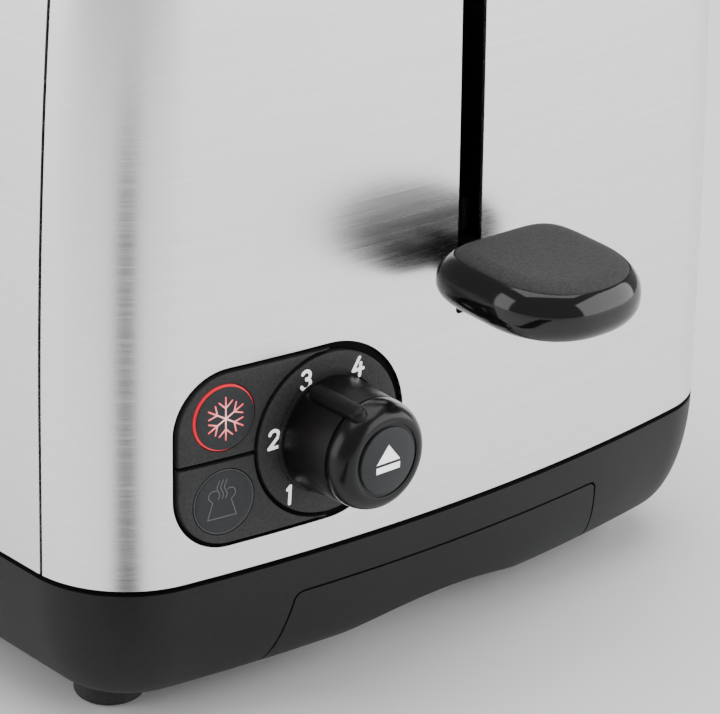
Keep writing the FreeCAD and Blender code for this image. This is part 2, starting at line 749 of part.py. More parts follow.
def button_plate(name, skin):
    half_groove = PLATE_GROOVE / 2.0
    reach = BODY_WIDTH
    z0, z1 = (DIAL_Z + half_groove, BODY_HEIGHT) if name == "defrost" else (0, DIAL_Z - half_groove)
    half_space = box(-reach, DIAL_X, FRONT - CUT_REACH, BOARD_Y, z0, z1)
    plate = skin.common(bezel_prism(-BEZEL_GAP)).common(half_space)
    return plate.cut(dial_axis(RING_RADIUS + PLATE_GROOVE)).cut(button_axis(name, BUTTON_HOLE))


def number_ring(skin):
    """The disc round the dial: it follows the panel's bow, with a flat seat under the knob."""
    seat_radius = KNOB_RADIUS + MOVING_GAP
    sunk = rod(seat_radius, V(DIAL_X, FRONT - CUT_REACH, DIAL_Z), CUT_REACH + KNOB_SEAT_BACK, Y_AXIS)
    seat = rod(seat_radius, V(DIAL_X, FRONT + KNOB_SEAT_BACK, DIAL_Z), KNOB_SEAT_SHEET, Y_AXIS)
    ring = skin.common(dial_axis(RING_RADIUS)).cut(sunk).fuse(seat)
    return ring.cut(dial_axis(DIAL_TUBE_OUTER + RUNNING_FIT)).removeSplitter()


def button_face(name):
    """A solid whose front is the body's curve, moved out by how far the button stands proud."""
    proud = DEFROST_PROUD if name == "defrost" else REHEAT_PROUD
    form = body_form(0.0, STEEL_LOW)
    form.translate(V(0, -proud, 0))
    return form


def switch_front():
    """The plane of the tips of the board's push switches."""
    return BOARD_Y - SWITCH_BODY - SWITCH_PLUNGER


def push_button(name):
    """A disc that follows the panel's bow, with a stem that reaches back to its switch."""
    face = button_face(name)
    z = button_z(name)
    start = FRONT - CUT_REACH
    back = FRONT + BUTTON_CAP + BOW_DEPTH
    cap = rod(BUTTON_RADIUS, V(BUTTON_X, start, z), back - start, Y_AXIS).common(face)
    stem_start = back - OVERCUT
    stem_end = switch_front() - MOVING_GAP - BUTTON_TRAVEL
    stem = rod(BUTTON_STEM_RADIUS, V(BUTTON_X, stem_start, z), stem_end - stem_start, Y_AXIS)
    return cap.fuse(stem).removeSplitter()


def light_ring(name):
    """The clear sleeve round a button that carries its light."""
    face = button_face(name)
    face.translate(V(0, MOVING_GAP, 0))
    start = V(BUTTON_X, FRONT - CUT_REACH, button_z(name))
    length = CUT_REACH + BUTTON_CAP + BOW_DEPTH
    return tube(BUTTON_RADIUS + LIGHT_RING_WALL, BUTTON_RADIUS, start, length, Y_AXIS).common(face)


def control_board():
    half = BEZEL_HALF + BOARD_MARGIN
    x0, x1 = -BEZEL_LEFT - BOARD_MARGIN, DIAL_X + half
    board = box(x0, x1, BOARD_Y, BOARD_Y + BOARD_SHEET, DIAL_Z - half, DIAL_Z + half)
    depth = BOARD_SHEET + 2 * OVERCUT
    for p in board_posts():
        board = board.cut(rod(SCREW_RADIUS + SCREW_FIT, V(p.x, BOARD_Y - OVERCUT, p.z), depth, Y_AXIS))
    return board


def board_screws():
    screws = []
    for p in board_posts():
        back = BOARD_Y + BOARD_SHEET
        shank = rod(SCREW_RADIUS, V(p.x, back - SCREW_LENGTH, p.z), SCREW_LENGTH, Y_AXIS)
        head = rod(SCREW_HEAD_RADIUS, V(p.x, back, p.z), SCREW_HEAD, Y_AXIS)
        screws.append(shank.fuse(head).removeSplitter())
    return Part.Compound(screws)


def push_switch(x, z):
    half = SWITCH_SIZE / 2.0
    body = box(x - half, x + half, BOARD_Y - SWITCH_BODY, BOARD_Y, z - half, z + half)
    plunger = rod(half / 2.0, V(x, switch_front(), z), SWITCH_PLUNGER + OVERCUT, Y_AXIS)
    return body.fuse(plunger).removeSplitter()


def push_switches():
    """The three switches on the board, behind the dial and the two round buttons."""
    places = [(DIAL_X, DIAL_Z)] + [(BUTTON_X, button_z(name)) for name in ("defrost", "reheat")]
    return Part.Compound([push_switch(x, z) for x, z in places])


def dial_potentiometer():
    """The ring-shaped variable resistor that the dial's hollow shaft turns in."""
    start = V(DIAL_X, BOARD_Y - POT_DEPTH, DIAL_Z)
    return tube(POT_RADIUS, DIAL_TUBE_OUTER + RUNNING_FIT, start, POT_DEPTH, Y_AXIS)


def revolved(points):
    """A solid of revolution about the dial's axis from (radius, distance out of the panel) corners."""
    corners = [V(DIAL_X + r, FRONT - out, DIAL_Z) for r, out in points]
    wire = Part.makePolygon(corners + corners[:1])
    return Part.Face(wire).revolve(V(DIAL_X, 0, DIAL_Z), Y_AXIS, 360)


def rim_curve():
    """Points along the quarter ellipse from the barrel's seam to the dial's front face."""
    wide = KNOB_RIM_RADIUS - KNOB_FACE_RADIUS
    tall = KNOB_LENGTH - KNOB_BARREL
    turns = [math.pi / 2.0 * i / KNOB_RIM_STEPS for i in range(KNOB_RIM_STEPS + 1)]
    return [(KNOB_FACE_RADIUS + wide * math.cos(a), KNOB_BARREL + tall * math.sin(a)) for a in turns]


def dial_knob():
    """The dial's barrel and hollow shaft."""
    bore = CANCEL_RADIUS + CANCEL_GAP
    web = KNOB_LENGTH - CANCEL_CAP - CANCEL_TRAVEL - KNOB_WEB_GAP
    shaft_end = SHAFT_END_GAP - BOARD_SETBACK
    barrel = revolved([
        (DIAL_BORE, shaft_end),
        (DIAL_TUBE_OUTER, shaft_end),
        (DIAL_TUBE_OUTER, web - KNOB_WALL),
        (KNOB_RADIUS - KNOB_WALL, web - KNOB_WALL - KNOB_WEB_FALL),
        (KNOB_RADIUS - KNOB_WALL, -KNOB_BACK),
        (KNOB_RADIUS, -KNOB_BACK),
        (KNOB_RIM_RADIUS, KNOB_BARREL),
        (bore, KNOB_BARREL),
        (bore, web),
        (DIAL_BORE, web),
    ])
    return barrel


def dial_rim():
    """The glossy front ring of the dial."""
    bore = CANCEL_RADIUS + CANCEL_GAP
    return revolved([(bore, KNOB_BARREL)] + rim_curve() + [(bore, KNOB_LENGTH)])


def dial_pointer():
    """The raised rib on the barrel that points at a number."""
    half = POINTER_WIDTH / 2.0
    y0 = FRONT - KNOB_BARREL - POINTER_OVERLAP
    rib = box(-half, half, y0 + half, y0 + POINTER_LENGTH, 0, KNOB_RADIUS + POINTER_RISE)
    rib = rib.fuse(rod(half, V(0, y0 + half, 0), KNOB_RADIUS + POINTER_RISE, Z_AXIS))
    rib.translate(V(DIAL_X, 0, DIAL_Z))
    rib.rotate(V(DIAL_X, 0, DIAL_Z), Y_AXIS, POINTER_ANGLE)
    core = revolved([
        (0, -KNOB_BACK),
        (KNOB_RADIUS, -KNOB_BACK),
        (KNOB_RIM_RADIUS, KNOB_BARREL),
    ] + rim_curve() + [(0, KNOB_LENGTH)])
    return rib.cut(core).removeSplitter()


def cancel_button():
    """The disc in the dial's face, on a stem that runs through the hollow shaft."""
    face = KNOB_LENGTH + CANCEL_PROUD
    back = face - CANCEL_CAP
    stem = DIAL_BORE - RUNNING_FIT
    tip = -(switch_front() - FRONT - MOVING_GAP - CANCEL_TRAVEL)
    disc = [(CANCEL_RADIUS, back), (CANCEL_RADIUS, face), (0, face)]
    return revolved([(0, tip), (stem, tip), (stem, back)] + disc)


# ---------------------------------------------------------------- chassis and heaters
def guard_pivots():
    """The x of each guard's hinge rod and which way its top leans when closed."""
    pivots = {}
    for side, centre in SLOT_CENTRES.items():
        out = -1 if side == "left" else 1
        pivots[side + "_outer"] = (centre + out * GUARD_OFF_CENTRE, -out)
        pivots[side + "_inner"] = (centre - out * GUARD_OFF_CENTRE, out)
    return pivots


def rack_clearance():
    """The upright slots in a chassis plate that the bread racks slide in."""
    half = RACK_SHEET / 2.0 + RACK_SLOT_GAP
    low, high = RACK_LOW - RACK_SLOT_END, RACK_TOP + LEVER_TRAVEL + RACK_SLOT_END
    y0, y1 = CHAMBER_FRONT - FLANGE_DEPTH, CHAMBER_REAR + FLANGE_DEPTH
    slots = [box(x - half, x + half, y0, y1, low, high)
             for x in SLOT_CENTRES.values()]
    return Part.Compound(slots)


def guard_holes():
    length = CHAMBER_REAR - CHAMBER_FRONT + 2 * FLANGE_DEPTH
    holes = [rod(GUARD_ROD + RUNNING_FIT, V(x, CHAMBER_FRONT - FLANGE_DEPTH, GUARD_PIVOT_Z), length, Y_AXIS)
             for x, _ in guard_pivots().values()]
    return Part.Compound(holes)


def heater_tabs(grow):
    """The heater boards' end tabs, which sit in slots in both chassis plates."""
    half = HEATER_SHEET / 2.0 + grow
    reach = PLATE_SHEET + TAB_PROUD
    y0, y1 = CHAMBER_FRONT - reach, CHAMBER_REAR + reach
    tabs = []
    for x in (-HEATER_X, 0.0, HEATER_X):
        for z in (HEATER_LOW + TAB_FROM_END, HEATER_HIGH - TAB_FROM_END):
            tabs.append(box(x - half, x + half, y0, y1, z - TAB_HALF - grow, z + TAB_HALF + grow))
    return tabs


def chassis_plate():
    """The front plate: a wall across the body with a foot flange on each side."""
    w = PLATE_HALF_WIDTH
    wall = box(-w, w, CHAMBER_FRONT - PLATE_SHEET, CHAMBER_FRONT, PLATE_LOW, PLATE_TOP)
    flange = box(FLANGE_INNER, w, CHAMBER_FRONT - FLANGE_DEPTH, CHAMBER_FRONT, PLATE_LOW, SHELF_TOP)
    plate = wall.multiFuse([flange, mirrored(flange)])
    below = V(0, 0, OVERCUT)
    depth = PLATE_SHEET + 2 * OVERCUT
    holes = [rod(SCREW_RADIUS + SCREW_FIT, p - below, depth, Z_AXIS) for p in screw_points()]
    y0, y1 = CHAMBER_FRONT - CUT_REACH, CHAMBER_FRONT + CUT_REACH
    arch = box(-FLANGE_INNER, FLANGE_INNER, y0, y1, PLATE_LOW - OVERCUT, PLATE_LOW + PLATE_ARCH)
    return plate.cut(Part.Compound(holes + [arch]))


def front_chassis_plate():
    cuts = [rack_clearance(), guard_holes()] + heater_tabs(FIT)
    return chassis_plate().cut(Part.Compound(cuts)).removeSplitter()


def rear_chassis_plate():
    plate = chassis_plate()
    plate = plate.mirror(V(0, CHAMBER_MIDDLE, 0), Y_AXIS)
    cuts = [rack_clearance(), guard_holes()] + heater_tabs(FIT)
    return plate.cut(Part.Compound(cuts)).removeSplitter()


def chassis_screws():
    screws = []
    for p in screw_points():
        top = p + V(0, 0, PLATE_SHEET)
        shank = rod(SCREW_RADIUS, top - V(0, 0, SCREW_LENGTH), SCREW_LENGTH, Z_AXIS)
        head = rod(SCREW_HEAD_RADIUS, top, SCREW_HEAD, Z_AXIS)
        screws.append(shank.fuse(head).removeSplitter())
    return Part.Compound(screws)


def right_reflector():
    """A polished side sheet with a lip folded outwards along its top and bottom."""
    y0, y1 = CHAMBER_FRONT, CHAMBER_REAR
    z0, z1 = BASE_TOP + RIM_HEIGHT + REFLECTOR_OVER_RIM, PLATE_TOP - REFLECTOR_BELOW_TOP
    sheet = box(REFLECTOR_X - REFLECTOR_SHEET, REFLECTOR_X, y0, y1, z0, z1)
    lips = [box(REFLECTOR_X - REFLECTOR_SHEET, REFLECTOR_X + REFLECTOR_LIP, y0, y1, z, z + REFLECTOR_SHEET)
            for z in (z0, z1 - REFLECTOR_SHEET)]
    return sheet.multiFuse(lips).removeSplitter()


def heater_board(x):
    half = HEATER_SHEET / 2.0
    board = box(x - half, x + half, CHAMBER_FRONT, CHAMBER_REAR, HEATER_LOW, HEATER_HIGH)
    tabs = [tab for tab in heater_tabs(0.0) if abs(tab.BoundBox.Center.x - x) < half]
    return board.multiFuse(tabs).removeSplitter()


def heating_element(x):
    """Flat resistance ribbon wound round a heater board, one loop a turn."""
    inner = HEATER_SHEET / 2.0
    outer = inner + RIBBON_THICK
    y0, y1 = CHAMBER_FRONT + RIBBON_END_MARGIN, CHAMBER_REAR - RIBBON_END_MARGIN
    pitch = (HEATER_HIGH - HEATER_LOW) / (HEATER_TURNS + 1)
    strips = []
    for i in range(HEATER_TURNS):
        z = HEATER_LOW + pitch * (i + 1)
        for x0, x1 in ((x - outer, x - inner), (x + inner, x + outer)):
            strips.append(box(x0, x1, y0, y1, z - RIBBON_WIDTH / 2.0, z + RIBBON_WIDTH / 2.0))
    return Part.Compound(strips)


def bread_guard(pivot_x, lean):
    """A wire cage on a hinge rod, shown leaning in against the bread."""
    z0, z1 = GUARD_PIVOT_Z, GUARD_PIVOT_Z + GUARD_HEIGHT
    y0, y1 = CHAMBER_FRONT + GUARD_END_GAP, CHAMBER_REAR - GUARD_END_GAP
    reach = PLATE_SHEET + GUARD_END_GAP + GUARD_PIN_REACH
    pieces = [rod(GUARD_ROD, V(pivot_x, y0 - reach, z0), y1 - y0 + 2 * reach, Y_AXIS)]
    pieces.append(rod(GUARD_ROD, V(pivot_x, y0, z1), y1 - y0, Y_AXIS))
    pitch = (y1 - y0 - 2 * GUARD_ROD) / (GUARD_WIRES - 1)
    for i in range(GUARD_WIRES):
        pieces.append(rod(GUARD_WIRE, V(pivot_x, y0 + GUARD_ROD + pitch * i, z0), GUARD_HEIGHT, Z_AXIS))
    cage = fuse(pieces)
    cage.rotate(V(pivot_x, 0, z0), Y_AXIS, lean * GUARD_TILT)
    return cage


# ---------------------------------------------------------------- carriage, lever and latch
def lever_plan(inset, z, start_turn=0.0):
    """A closed wire round the lever, moved inwards: square at the back and round at the hand's end."""
    half_x = LEVER_HALF_WIDTH - inset
    half_y = LEVER_LENGTH / 2.0 - inset
    points = []
    for i in range(LEVER_PLAN_STEPS):
        turn = start_turn + 2.0 * math.pi * i / LEVER_PLAN_STEPS
        c, s = math.cos(turn), math.sin(turn)
        power = LEVER_BACK_SQUARENESS if s > 0 else LEVER_FRONT_SQUARENESS
        reach = (abs(c / half_x) ** power + abs(s / half_y) ** power) ** (-1.0 / power)
        points.append(V(reach * c, LEVER_MIDDLE_Y + reach * s, z))
    curve = Part.BSplineCurve()
    curve.interpolate(points, PeriodicFlag=True)
    return Part.Wire([curve.toShape()])


def tilted(shape):
    """Tip the lever's pieces down towards the hand."""
    shape.rotate(V(0, LEVER_MIDDLE_Y, LEVER_MIDDLE_Z), X_AXIS, LEVER_TILT)
    return shape


def lever_block():
    """The lever's whole form: a large round over the top edge and a smaller one under it."""
    low, top = LEVER_MIDDLE_Z - LEVER_THICK / 2.0, LEVER_MIDDLE_Z + LEVER_THICK / 2.0
    low_round, top_round = LEVER_THICK * LEVER_LOW_ROUND, LEVER_THICK * LEVER_TOP_ROUND
    turns = [math.pi / 2.0 * i / LEVER_ROUND_STEPS for i in range(LEVER_ROUND_STEPS + 1)]
    rings = [lever_plan(low_round * (1 - math.sin(a)), low + low_round * (1 - math.cos(a))) for a in turns]
    rings += [lever_plan(top_round * (1 - math.cos(a)), top - top_round * (1 - math.sin(a))) for a in turns]
    return Part.makeLoft(rings, True, False)


def lever_handle():
    pocket = inlay_block(-INLAY_FIT)
    return tilted(lever_block().cut(pocket)).cut(arm_bar(RUNNING_FIT)).removeSplitter()


def inlay_block(inset):
    """The room of the pad in the lever's top."""
    top = LEVER_MIDDLE_Z + LEVER_THICK / 2.0
    return prism_z(lever_plan(INLAY_MARGIN + inset, 0.0, math.pi), top - INLAY_DEPTH, top + OVERCUT)


def lever_inlay():
    """The soft pad let into the lever's top, which carries on its domed form."""
    return tilted(lever_block().common(inlay_block(0.0)))


def arm_bar(grow):
    half = ARM_HALF_THICK + grow
    front = FRONT - LEVER_OFF_PANEL - ARM_INTO_LEVER - grow
    return box(-half, half, front, BRACKET_Y, ARM_LOW - grow, ARM_TOP + grow)


def lever_arm():
    return arm_bar(0.0)


def bush_heights():
    return (RACK_LOW + BUSH_RISE, ARM_LOW - BUSH_HEIGHT + BUSH_RISE)


def carriage_bracket():
    """The pressed plate that ties the lever arm, the racks and the bushes together."""
    y0, y1 = BRACKET_Y, BRACKET_Y + BRACKET_SHEET
    reach = SLOT_SPACING / 2.0 + BRACKET_OVERHANG
    cross = box(-reach, reach, y0, y1, RACK_LOW, BRACKET_TOP)
    upright = box(-BRACKET_HALF, BRACKET_HALF, y0, y1, RACK_LOW, ARM_TOP + BRACKET_OVER_ARM)
    keeper_arm = box(BRACKET_HALF, MAGNET_X + MAGNET_HALF, y0, y1, RACK_LOW, RACK_TOP)
    switch_tab = box(MAINS_SWITCH_X, -BRACKET_HALF, y0, y1, SWITCH_TAB_LOW, BRACKET_TOP)
    pieces = [cross, upright, keeper_arm, switch_tab]
    for sx in (-1, 1):
        ear_x = sx * SPRING_X
        x0, x1 = ear_x - SPRING_EAR, ear_x + SPRING_EAR
        pieces.append(box(x0, x1, ROD_Y - SPRING_EAR, y1, BRACKET_TOP - EAR_SHEET, BRACKET_TOP))
        for z in bush_heights():
            x0, x1 = sorted((sx * BRACKET_HALF, sx * (ROD_X + ROD_RADIUS)))
            pieces.append(box(x0, x1, y0, y1, z, z + BUSH_HEIGHT))
    bracket = fuse(pieces)
    return bracket.cut(bush_cores())


def bush_outer():
    return ROD_RADIUS + RUNNING_FIT + BUSH_WALL


def bush_cores():
    depth = BUSH_HEIGHT + 2 * OVERCUT
    cores = []
    for x in (-ROD_X, ROD_X):
        for z in bush_heights():
            cores.append(rod(bush_outer(), V(x, ROD_Y, z - OVERCUT), depth, Z_AXIS))
    return Part.Compound(cores)


def guide_bushes():
    """Four sleeves that run on the guide rods, each with a lug back to the bracket."""
    bushes = []
    for x in (-ROD_X, ROD_X):
        for z in bush_heights():
            sleeve = rod(bush_outer(), V(x, ROD_Y, z), BUSH_HEIGHT, Z_AXIS)
            lug = box(x - BUSH_LUG_HALF, x + BUSH_LUG_HALF, ROD_Y, BRACKET_Y, z, z + BUSH_HEIGHT)
            hole = rod(ROD_RADIUS + RUNNING_FIT, V(x, ROD_Y, z - OVERCUT), BUSH_HEIGHT + 2 * OVERCUT, Z_AXIS)
            bushes.append(sleeve.fuse(lug).cut(hole).removeSplitter())
    return Part.Compound(bushes)


def bread_rack(x):
    """The strip that lifts one slice, with cross bars for the slice to stand on."""
    half = RACK_SHEET / 2.0
    y0, y1 = BRACKET_Y + BRACKET_SHEET, CHAMBER_REAR + RACK_PAST_CHAMBER
    strip = box(x - half, x + half, y0, y1, RACK_LOW, RACK_TOP)
    pitch = SLOT_LENGTH / (RACK_BARS + 1)
    y_first = CHAMBER_MIDDLE - SLOT_LENGTH / 2.0
    pieces = [strip]
    for i in range(RACK_BARS):
        start = V(x - RACK_BAR_HALF, y_first + pitch * (i + 1), RACK_TOP - RACK_BAR_RADIUS)
        pieces.append(rod(RACK_BAR_RADIUS, start, 2 * RACK_BAR_HALF, X_AXIS))
    return fuse(pieces)


def guide_rods():
    length = ROD_BRACKET_Z - SHELF_TOP
    return Part.Compound([rod(ROD_RADIUS, V(x, ROD_Y, SHELF_TOP), length, Z_AXIS) for x in (-ROD_X, ROD_X)])


def rod_top_bracket():
    """The shelf on the front chassis plate that holds the rods' upper ends and both springs."""
    reach = SPRING_X + SPRING_EAR + TOP_SHELF_MARGIN
    y0, y1 = ROD_Y - TOP_SHELF_FRONT, CHAMBER_FRONT - PLATE_SHEET
    return box(-reach, reach, y0, y1, ROD_BRACKET_Z, ROD_BRACKET_Z + ROD_BRACKET_SHEET)


def rod_foot_bracket():
    """The lower shelf, which also carries the electromagnet and the mains switch."""
    z = SHELF_TOP - ROD_BRACKET_SHEET
    reach = PLATE_HALF_WIDTH - FOOT_SHELF_FROM_EDGE
    shelf_back = CHAMBER_FRONT - FLANGE_DEPTH - FIT
    shelf = box(-reach, reach, ROD_Y - FOOT_SHELF_FRONT, shelf_back, z, SHELF_TOP)
    tongue_half = FLANGE_INNER - FIT
    lip_back = CHAMBER_FRONT - PLATE_SHEET
    tongue = box(-tongue_half, tongue_half, shelf_back - OVERCUT, lip_back, z, SHELF_TOP)
    y0, y1 = MAGNET_Y - MAGNET_DEPTH / 2.0, MAGNET_Y + MAGNET_DEPTH / 2.0
    stand = box(MAGNET_X - MAGNET_HALF, MAGNET_X + MAGNET_HALF, y0, y1, z, MAGNET_TOP - MAGNET_HEIGHT)
    lip_half = SLOT_SPACING / 2.0 - RACK_SLOT_GAP - RACK_SHEET
    lip_top = RACK_LOW - SHELF_LIP_BELOW_RACK
    lip = box(-lip_half, lip_half, lip_back - ROD_BRACKET_SHEET, lip_back, z, lip_top)
    return fuse([shelf, tongue, stand, lip])


def return_spring(x):
    """An extension spring, stretched, from the carriage's ear up to the top bracket."""
    z0 = BRACKET_TOP + SPRING_WIRE + MOVING_GAP
    z1 = ROD_BRACKET_Z - SPRING_WIRE - MOVING_GAP
    height = z1 - z0
    helix = Part.makeHelix(height / SPRING_TURNS, height, SPRING_RADIUS)
    helix.translate(V(x, ROD_Y, z0))
    start = V(x + SPRING_RADIUS, ROD_Y, z0)
    profile = Part.Wire([Part.Circle(start, Y_AXIS, SPRING_WIRE).toShape()])
    return Part.Wire(helix.Edges).makePipeShell([profile], True, True)


def electromagnet_core():
    """An E-shaped stack that holds the keeper while current flows."""
    half_depth = MAGNET_DEPTH / 2.0
    low = MAGNET_TOP - MAGNET_HEIGHT
    y0, y1 = MAGNET_Y - half_depth, MAGNET_Y + half_depth
    core = box(MAGNET_X - MAGNET_HALF, MAGNET_X + MAGNET_HALF, y0, y1, low, MAGNET_TOP)
    for sx in (-1, 1):
        x0, x1 = sorted((MAGNET_X + sx * MAGNET_LEG_HALF, MAGNET_X + sx * (MAGNET_HALF - MAGNET_SIDE_LEG)))
        window = box(x0, x1, y0 - OVERCUT, y1 + OVERCUT, low + MAGNET_YOKE, MAGNET_TOP + OVERCUT)
        core = core.cut(window)
    return core


def electromagnet_coil():
    """The winding round the core's middle leg."""
    low = MAGNET_TOP - MAGNET_HEIGHT + MAGNET_YOKE
    inner = MAGNET_LEG_HALF
    outer = MAGNET_HALF - MAGNET_SIDE_LEG - FIT
    y_inner = MAGNET_DEPTH / 2.0
    y_outer = y_inner + outer - inner
    top = MAGNET_TOP - COIL_BELOW_TOP
    coil = box(MAGNET_X - outer, MAGNET_X + outer, MAGNET_Y - y_outer, MAGNET_Y + y_outer, low, top)
    y0, y1 = MAGNET_Y - y_inner, MAGNET_Y + y_inner
    leg = box(MAGNET_X - inner, MAGNET_X + inner, y0, y1, low - OVERCUT, top + OVERCUT)
    return coil.cut(leg)


def keeper_plate():
    """The steel strip on the carriage that the electromagnet holds."""
    x0, x1 = MAGNET_X - MAGNET_HALF, MAGNET_X + MAGNET_HALF
    return box(x0, x1, MAGNET_Y - MAGNET_DEPTH / 2.0, BRACKET_Y, KEEPER_LOW, KEEPER_LOW + KEEPER_SHEET)


def mains_switch():
    """The contact block that the carriage closes at the bottom of its travel."""
    x, half = MAINS_SWITCH_X, MAINS_SWITCH_HALF
    y0, y1 = BRACKET_Y - MAINS_SWITCH_DEPTH, BRACKET_Y + MAINS_SWITCH_BEHIND
    top = SHELF_TOP + MAINS_SWITCH_HEIGHT
    body = box(x - half, x + half, y0, y1, SHELF_TOP, top)
    leaf_top = SWITCH_TAB_LOW - MOVING_GAP
    leaf = box(x, x + LEAF_WIDTH, y0 + LEAF_SETBACK, y1, top - OVERCUT, leaf_top)
    return body.fuse(leaf).removeSplitter()


# ---------------------------------------------------------------- all the pieces, by name
def build():
    steel = body_layer(0.0, SHEET, STEEL_LOW)
    skin = face_layer()
    front_frame, rear_frame = seam_frames()
    pieces = {
        "front_end_panel": front_end_panel(steel),
        "rear_end_panel": rear_end_panel(steel),
        "outer_cover": outer_cover(steel),
        "front_seam_frame": front_frame,
        "rear_seam_frame": rear_frame,
        "base_moulding": base_moulding(),
        "rubber_feet": rubber_feet(),
        "crumb_tray_handle": crumb_tray_handle(),
        "crumb_tray_pan": crumb_tray_pan(),
        "cord_gland": cord_gland(),
        "terminal_block": terminal_block(),
        "control_bezel": control_bezel(),
        "number_ring": number_ring(skin),
        "control_board": control_board(),
        "board_screws": board_screws(),
        "dial_potentiometer": dial_potentiometer(),
        "dial_knob": dial_knob(),
        "dial_rim": dial_rim(),
        "dial_pointer": dial_pointer(),
        "cancel_button": cancel_button(),
        "front_chassis_plate": front_chassis_plate(),
        "rear_chassis_plate": rear_chassis_plate(),
        "chassis_screws": chassis_screws(),
        "right_reflector": right_reflector(),
        "left_reflector": mirrored(right_reflector()),
        "lever_handle": lever_handle(),
        "lever_inlay": lever_inlay(),
        "lever_arm": lever_arm(),
        "carriage_bracket": carriage_bracket(),
        "guide_bushes": guide_bushes(),
        "guide_rods": guide_rods(),
        "rod_top_bracket": rod_top_bracket(),
        "rod_foot_bracket": rod_foot_bracket(),
        "electromagnet_core": electromagnet_core(),
        "electromagnet_coil": electromagnet_coil(),
        "keeper_plate": keeper_plate(),
        "mains_switch": mains_switch(),
        "return_springs": Part.Compound([return_spring(-SPRING_X), return_spring(SPRING_X)]),
        "push_switches": push_switches(),
    }
    for name in ("defrost", "reheat"):
        pieces[name + "_button"] = push_button(name)
        pieces[name + "_light_ring"] = light_ring(name)
        pieces[name + "_button_plate"] = button_plate(name, skin)
    for side, x in SLOT_CENTRES.items():
        pieces[side + "_slot_collar"] = slot_collar(side)
        pieces[side + "_bread_rack"] = bread_rack(x)
    for name, (x, lean) in guard_pivots().items():
        pieces[name + "_bread_guard"] = bread_guard(x, lean)
    for name, x in (("left", -HEATER_X), ("centre", 0.0), ("right", HEATER_X)):
        pieces[name + "_heater_board"] = heater_board(x)
        pieces[name + "_heating_element"] = heating_element(x)
    return pieces


os.makedirs("parts", exist_ok=True)
for node, shape in build().items():
    shape.exportStep("parts/" + node + ".step")
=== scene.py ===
import json
import math

import bmesh
import bpy
from mathutils import Matrix, Vector
from mathutils.geometry import delaunay_2d_cdt


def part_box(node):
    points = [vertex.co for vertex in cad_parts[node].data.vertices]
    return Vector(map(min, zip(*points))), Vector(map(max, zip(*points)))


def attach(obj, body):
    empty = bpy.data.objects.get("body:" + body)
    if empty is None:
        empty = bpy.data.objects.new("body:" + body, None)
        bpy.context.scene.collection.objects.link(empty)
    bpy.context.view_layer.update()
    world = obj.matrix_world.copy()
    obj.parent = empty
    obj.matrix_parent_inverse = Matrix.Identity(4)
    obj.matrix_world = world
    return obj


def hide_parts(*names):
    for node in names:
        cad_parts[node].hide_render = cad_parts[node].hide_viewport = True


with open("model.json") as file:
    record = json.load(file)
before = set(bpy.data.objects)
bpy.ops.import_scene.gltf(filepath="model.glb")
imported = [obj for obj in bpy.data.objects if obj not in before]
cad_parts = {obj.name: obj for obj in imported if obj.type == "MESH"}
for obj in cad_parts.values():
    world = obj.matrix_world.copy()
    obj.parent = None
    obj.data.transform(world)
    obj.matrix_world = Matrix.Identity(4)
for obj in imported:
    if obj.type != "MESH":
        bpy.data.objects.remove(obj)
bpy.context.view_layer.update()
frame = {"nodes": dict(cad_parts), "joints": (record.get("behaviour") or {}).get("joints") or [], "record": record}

# A two-slice pop up toaster, dressed over its mechanical frame.
# Lengths in this script are in millimetres and become metres when a mesh is made.
MM = 0.001


def cad_box(node):
    low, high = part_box(node)
    return low / MM, high / MM


# ---- places read from the frame
BASE_BOX = cad_box("base_moulding")
COVER_BOX = cad_box("outer_cover")
FRONT_PANEL_BOX = cad_box("front_end_panel")
REAR_PANEL_BOX = cad_box("rear_end_panel")
ARM_BOX = cad_box("lever_arm")
RIM_BOX = cad_box("dial_rim")

HALF_WIDTH = BASE_BOX[1].x
FRONT_Y = BASE_BOX[0].y
REAR_Y = BASE_BOX[1].y
MIDDLE_Y = (FRONT_Y + REAR_Y) / 2.0
HALF_LENGTH = (REAR_Y - FRONT_Y) / 2.0
STEEL_LOW = COVER_BOX[0].z
BODY_TOP = COVER_BOX[1].z
BASE_LOW = BASE_BOX[0].z
LEVER_TRAVEL = next(j for j in frame["joints"] if j["name"] == "carriage_slide")["range_m"][1] / MM
DIAL_X = (RIM_BOX[0].x + RIM_BOX[1].x) / 2.0
DIAL_Z = (RIM_BOX[0].z + RIM_BOX[1].z) / 2.0

# ---- the body's form
STEEL_GAP = 1.2
BASE_TOP = STEEL_LOW - STEEL_GAP
BOW_RADIUS = 456.0
CORNER_RADIUS = 23.0
SHOULDER_RADIUS = 16.0
SIDE_LEAN = 0.0004
SIDE_LEAN_START = 66.7
END_LEAN = 0.0001
END_LEAN_START = -13.5
SHEET = 0.8
BASE_TUCK = 10.9
BASE_WALL = 3.0


def side_lean(z):
    return SIDE_LEAN * max(0.0, z - SIDE_LEAN_START) ** 2


def end_lean(z):
    return END_LEAN * ((z - END_LEAN_START) ** 2 - (BASE_TOP - END_LEAN_START) ** 2)


def plan_form(z, inset, lean):
    """Half sizes, radii and the corner's centre of the plan outline at a height."""
    half_width = HALF_WIDTH - (side_lean(z) if lean else 0.0) - inset
    half_length = HALF_LENGTH - (end_lean(z) if lean else 0.0) - inset
    bow = BOW_RADIUS - inset
    corner = CORNER_RADIUS - inset
    corner_x = half_width - corner
    turn = math.asin(corner_x / (bow - corner))
    corner_y = bow - half_length - (bow - corner) * math.cos(turn)
    return half_width, half_length, bow, corner, corner_x, corner_y, turn


def spaced(start, end, count):
    return [start + (end - start) * i / count for i in range(count)]


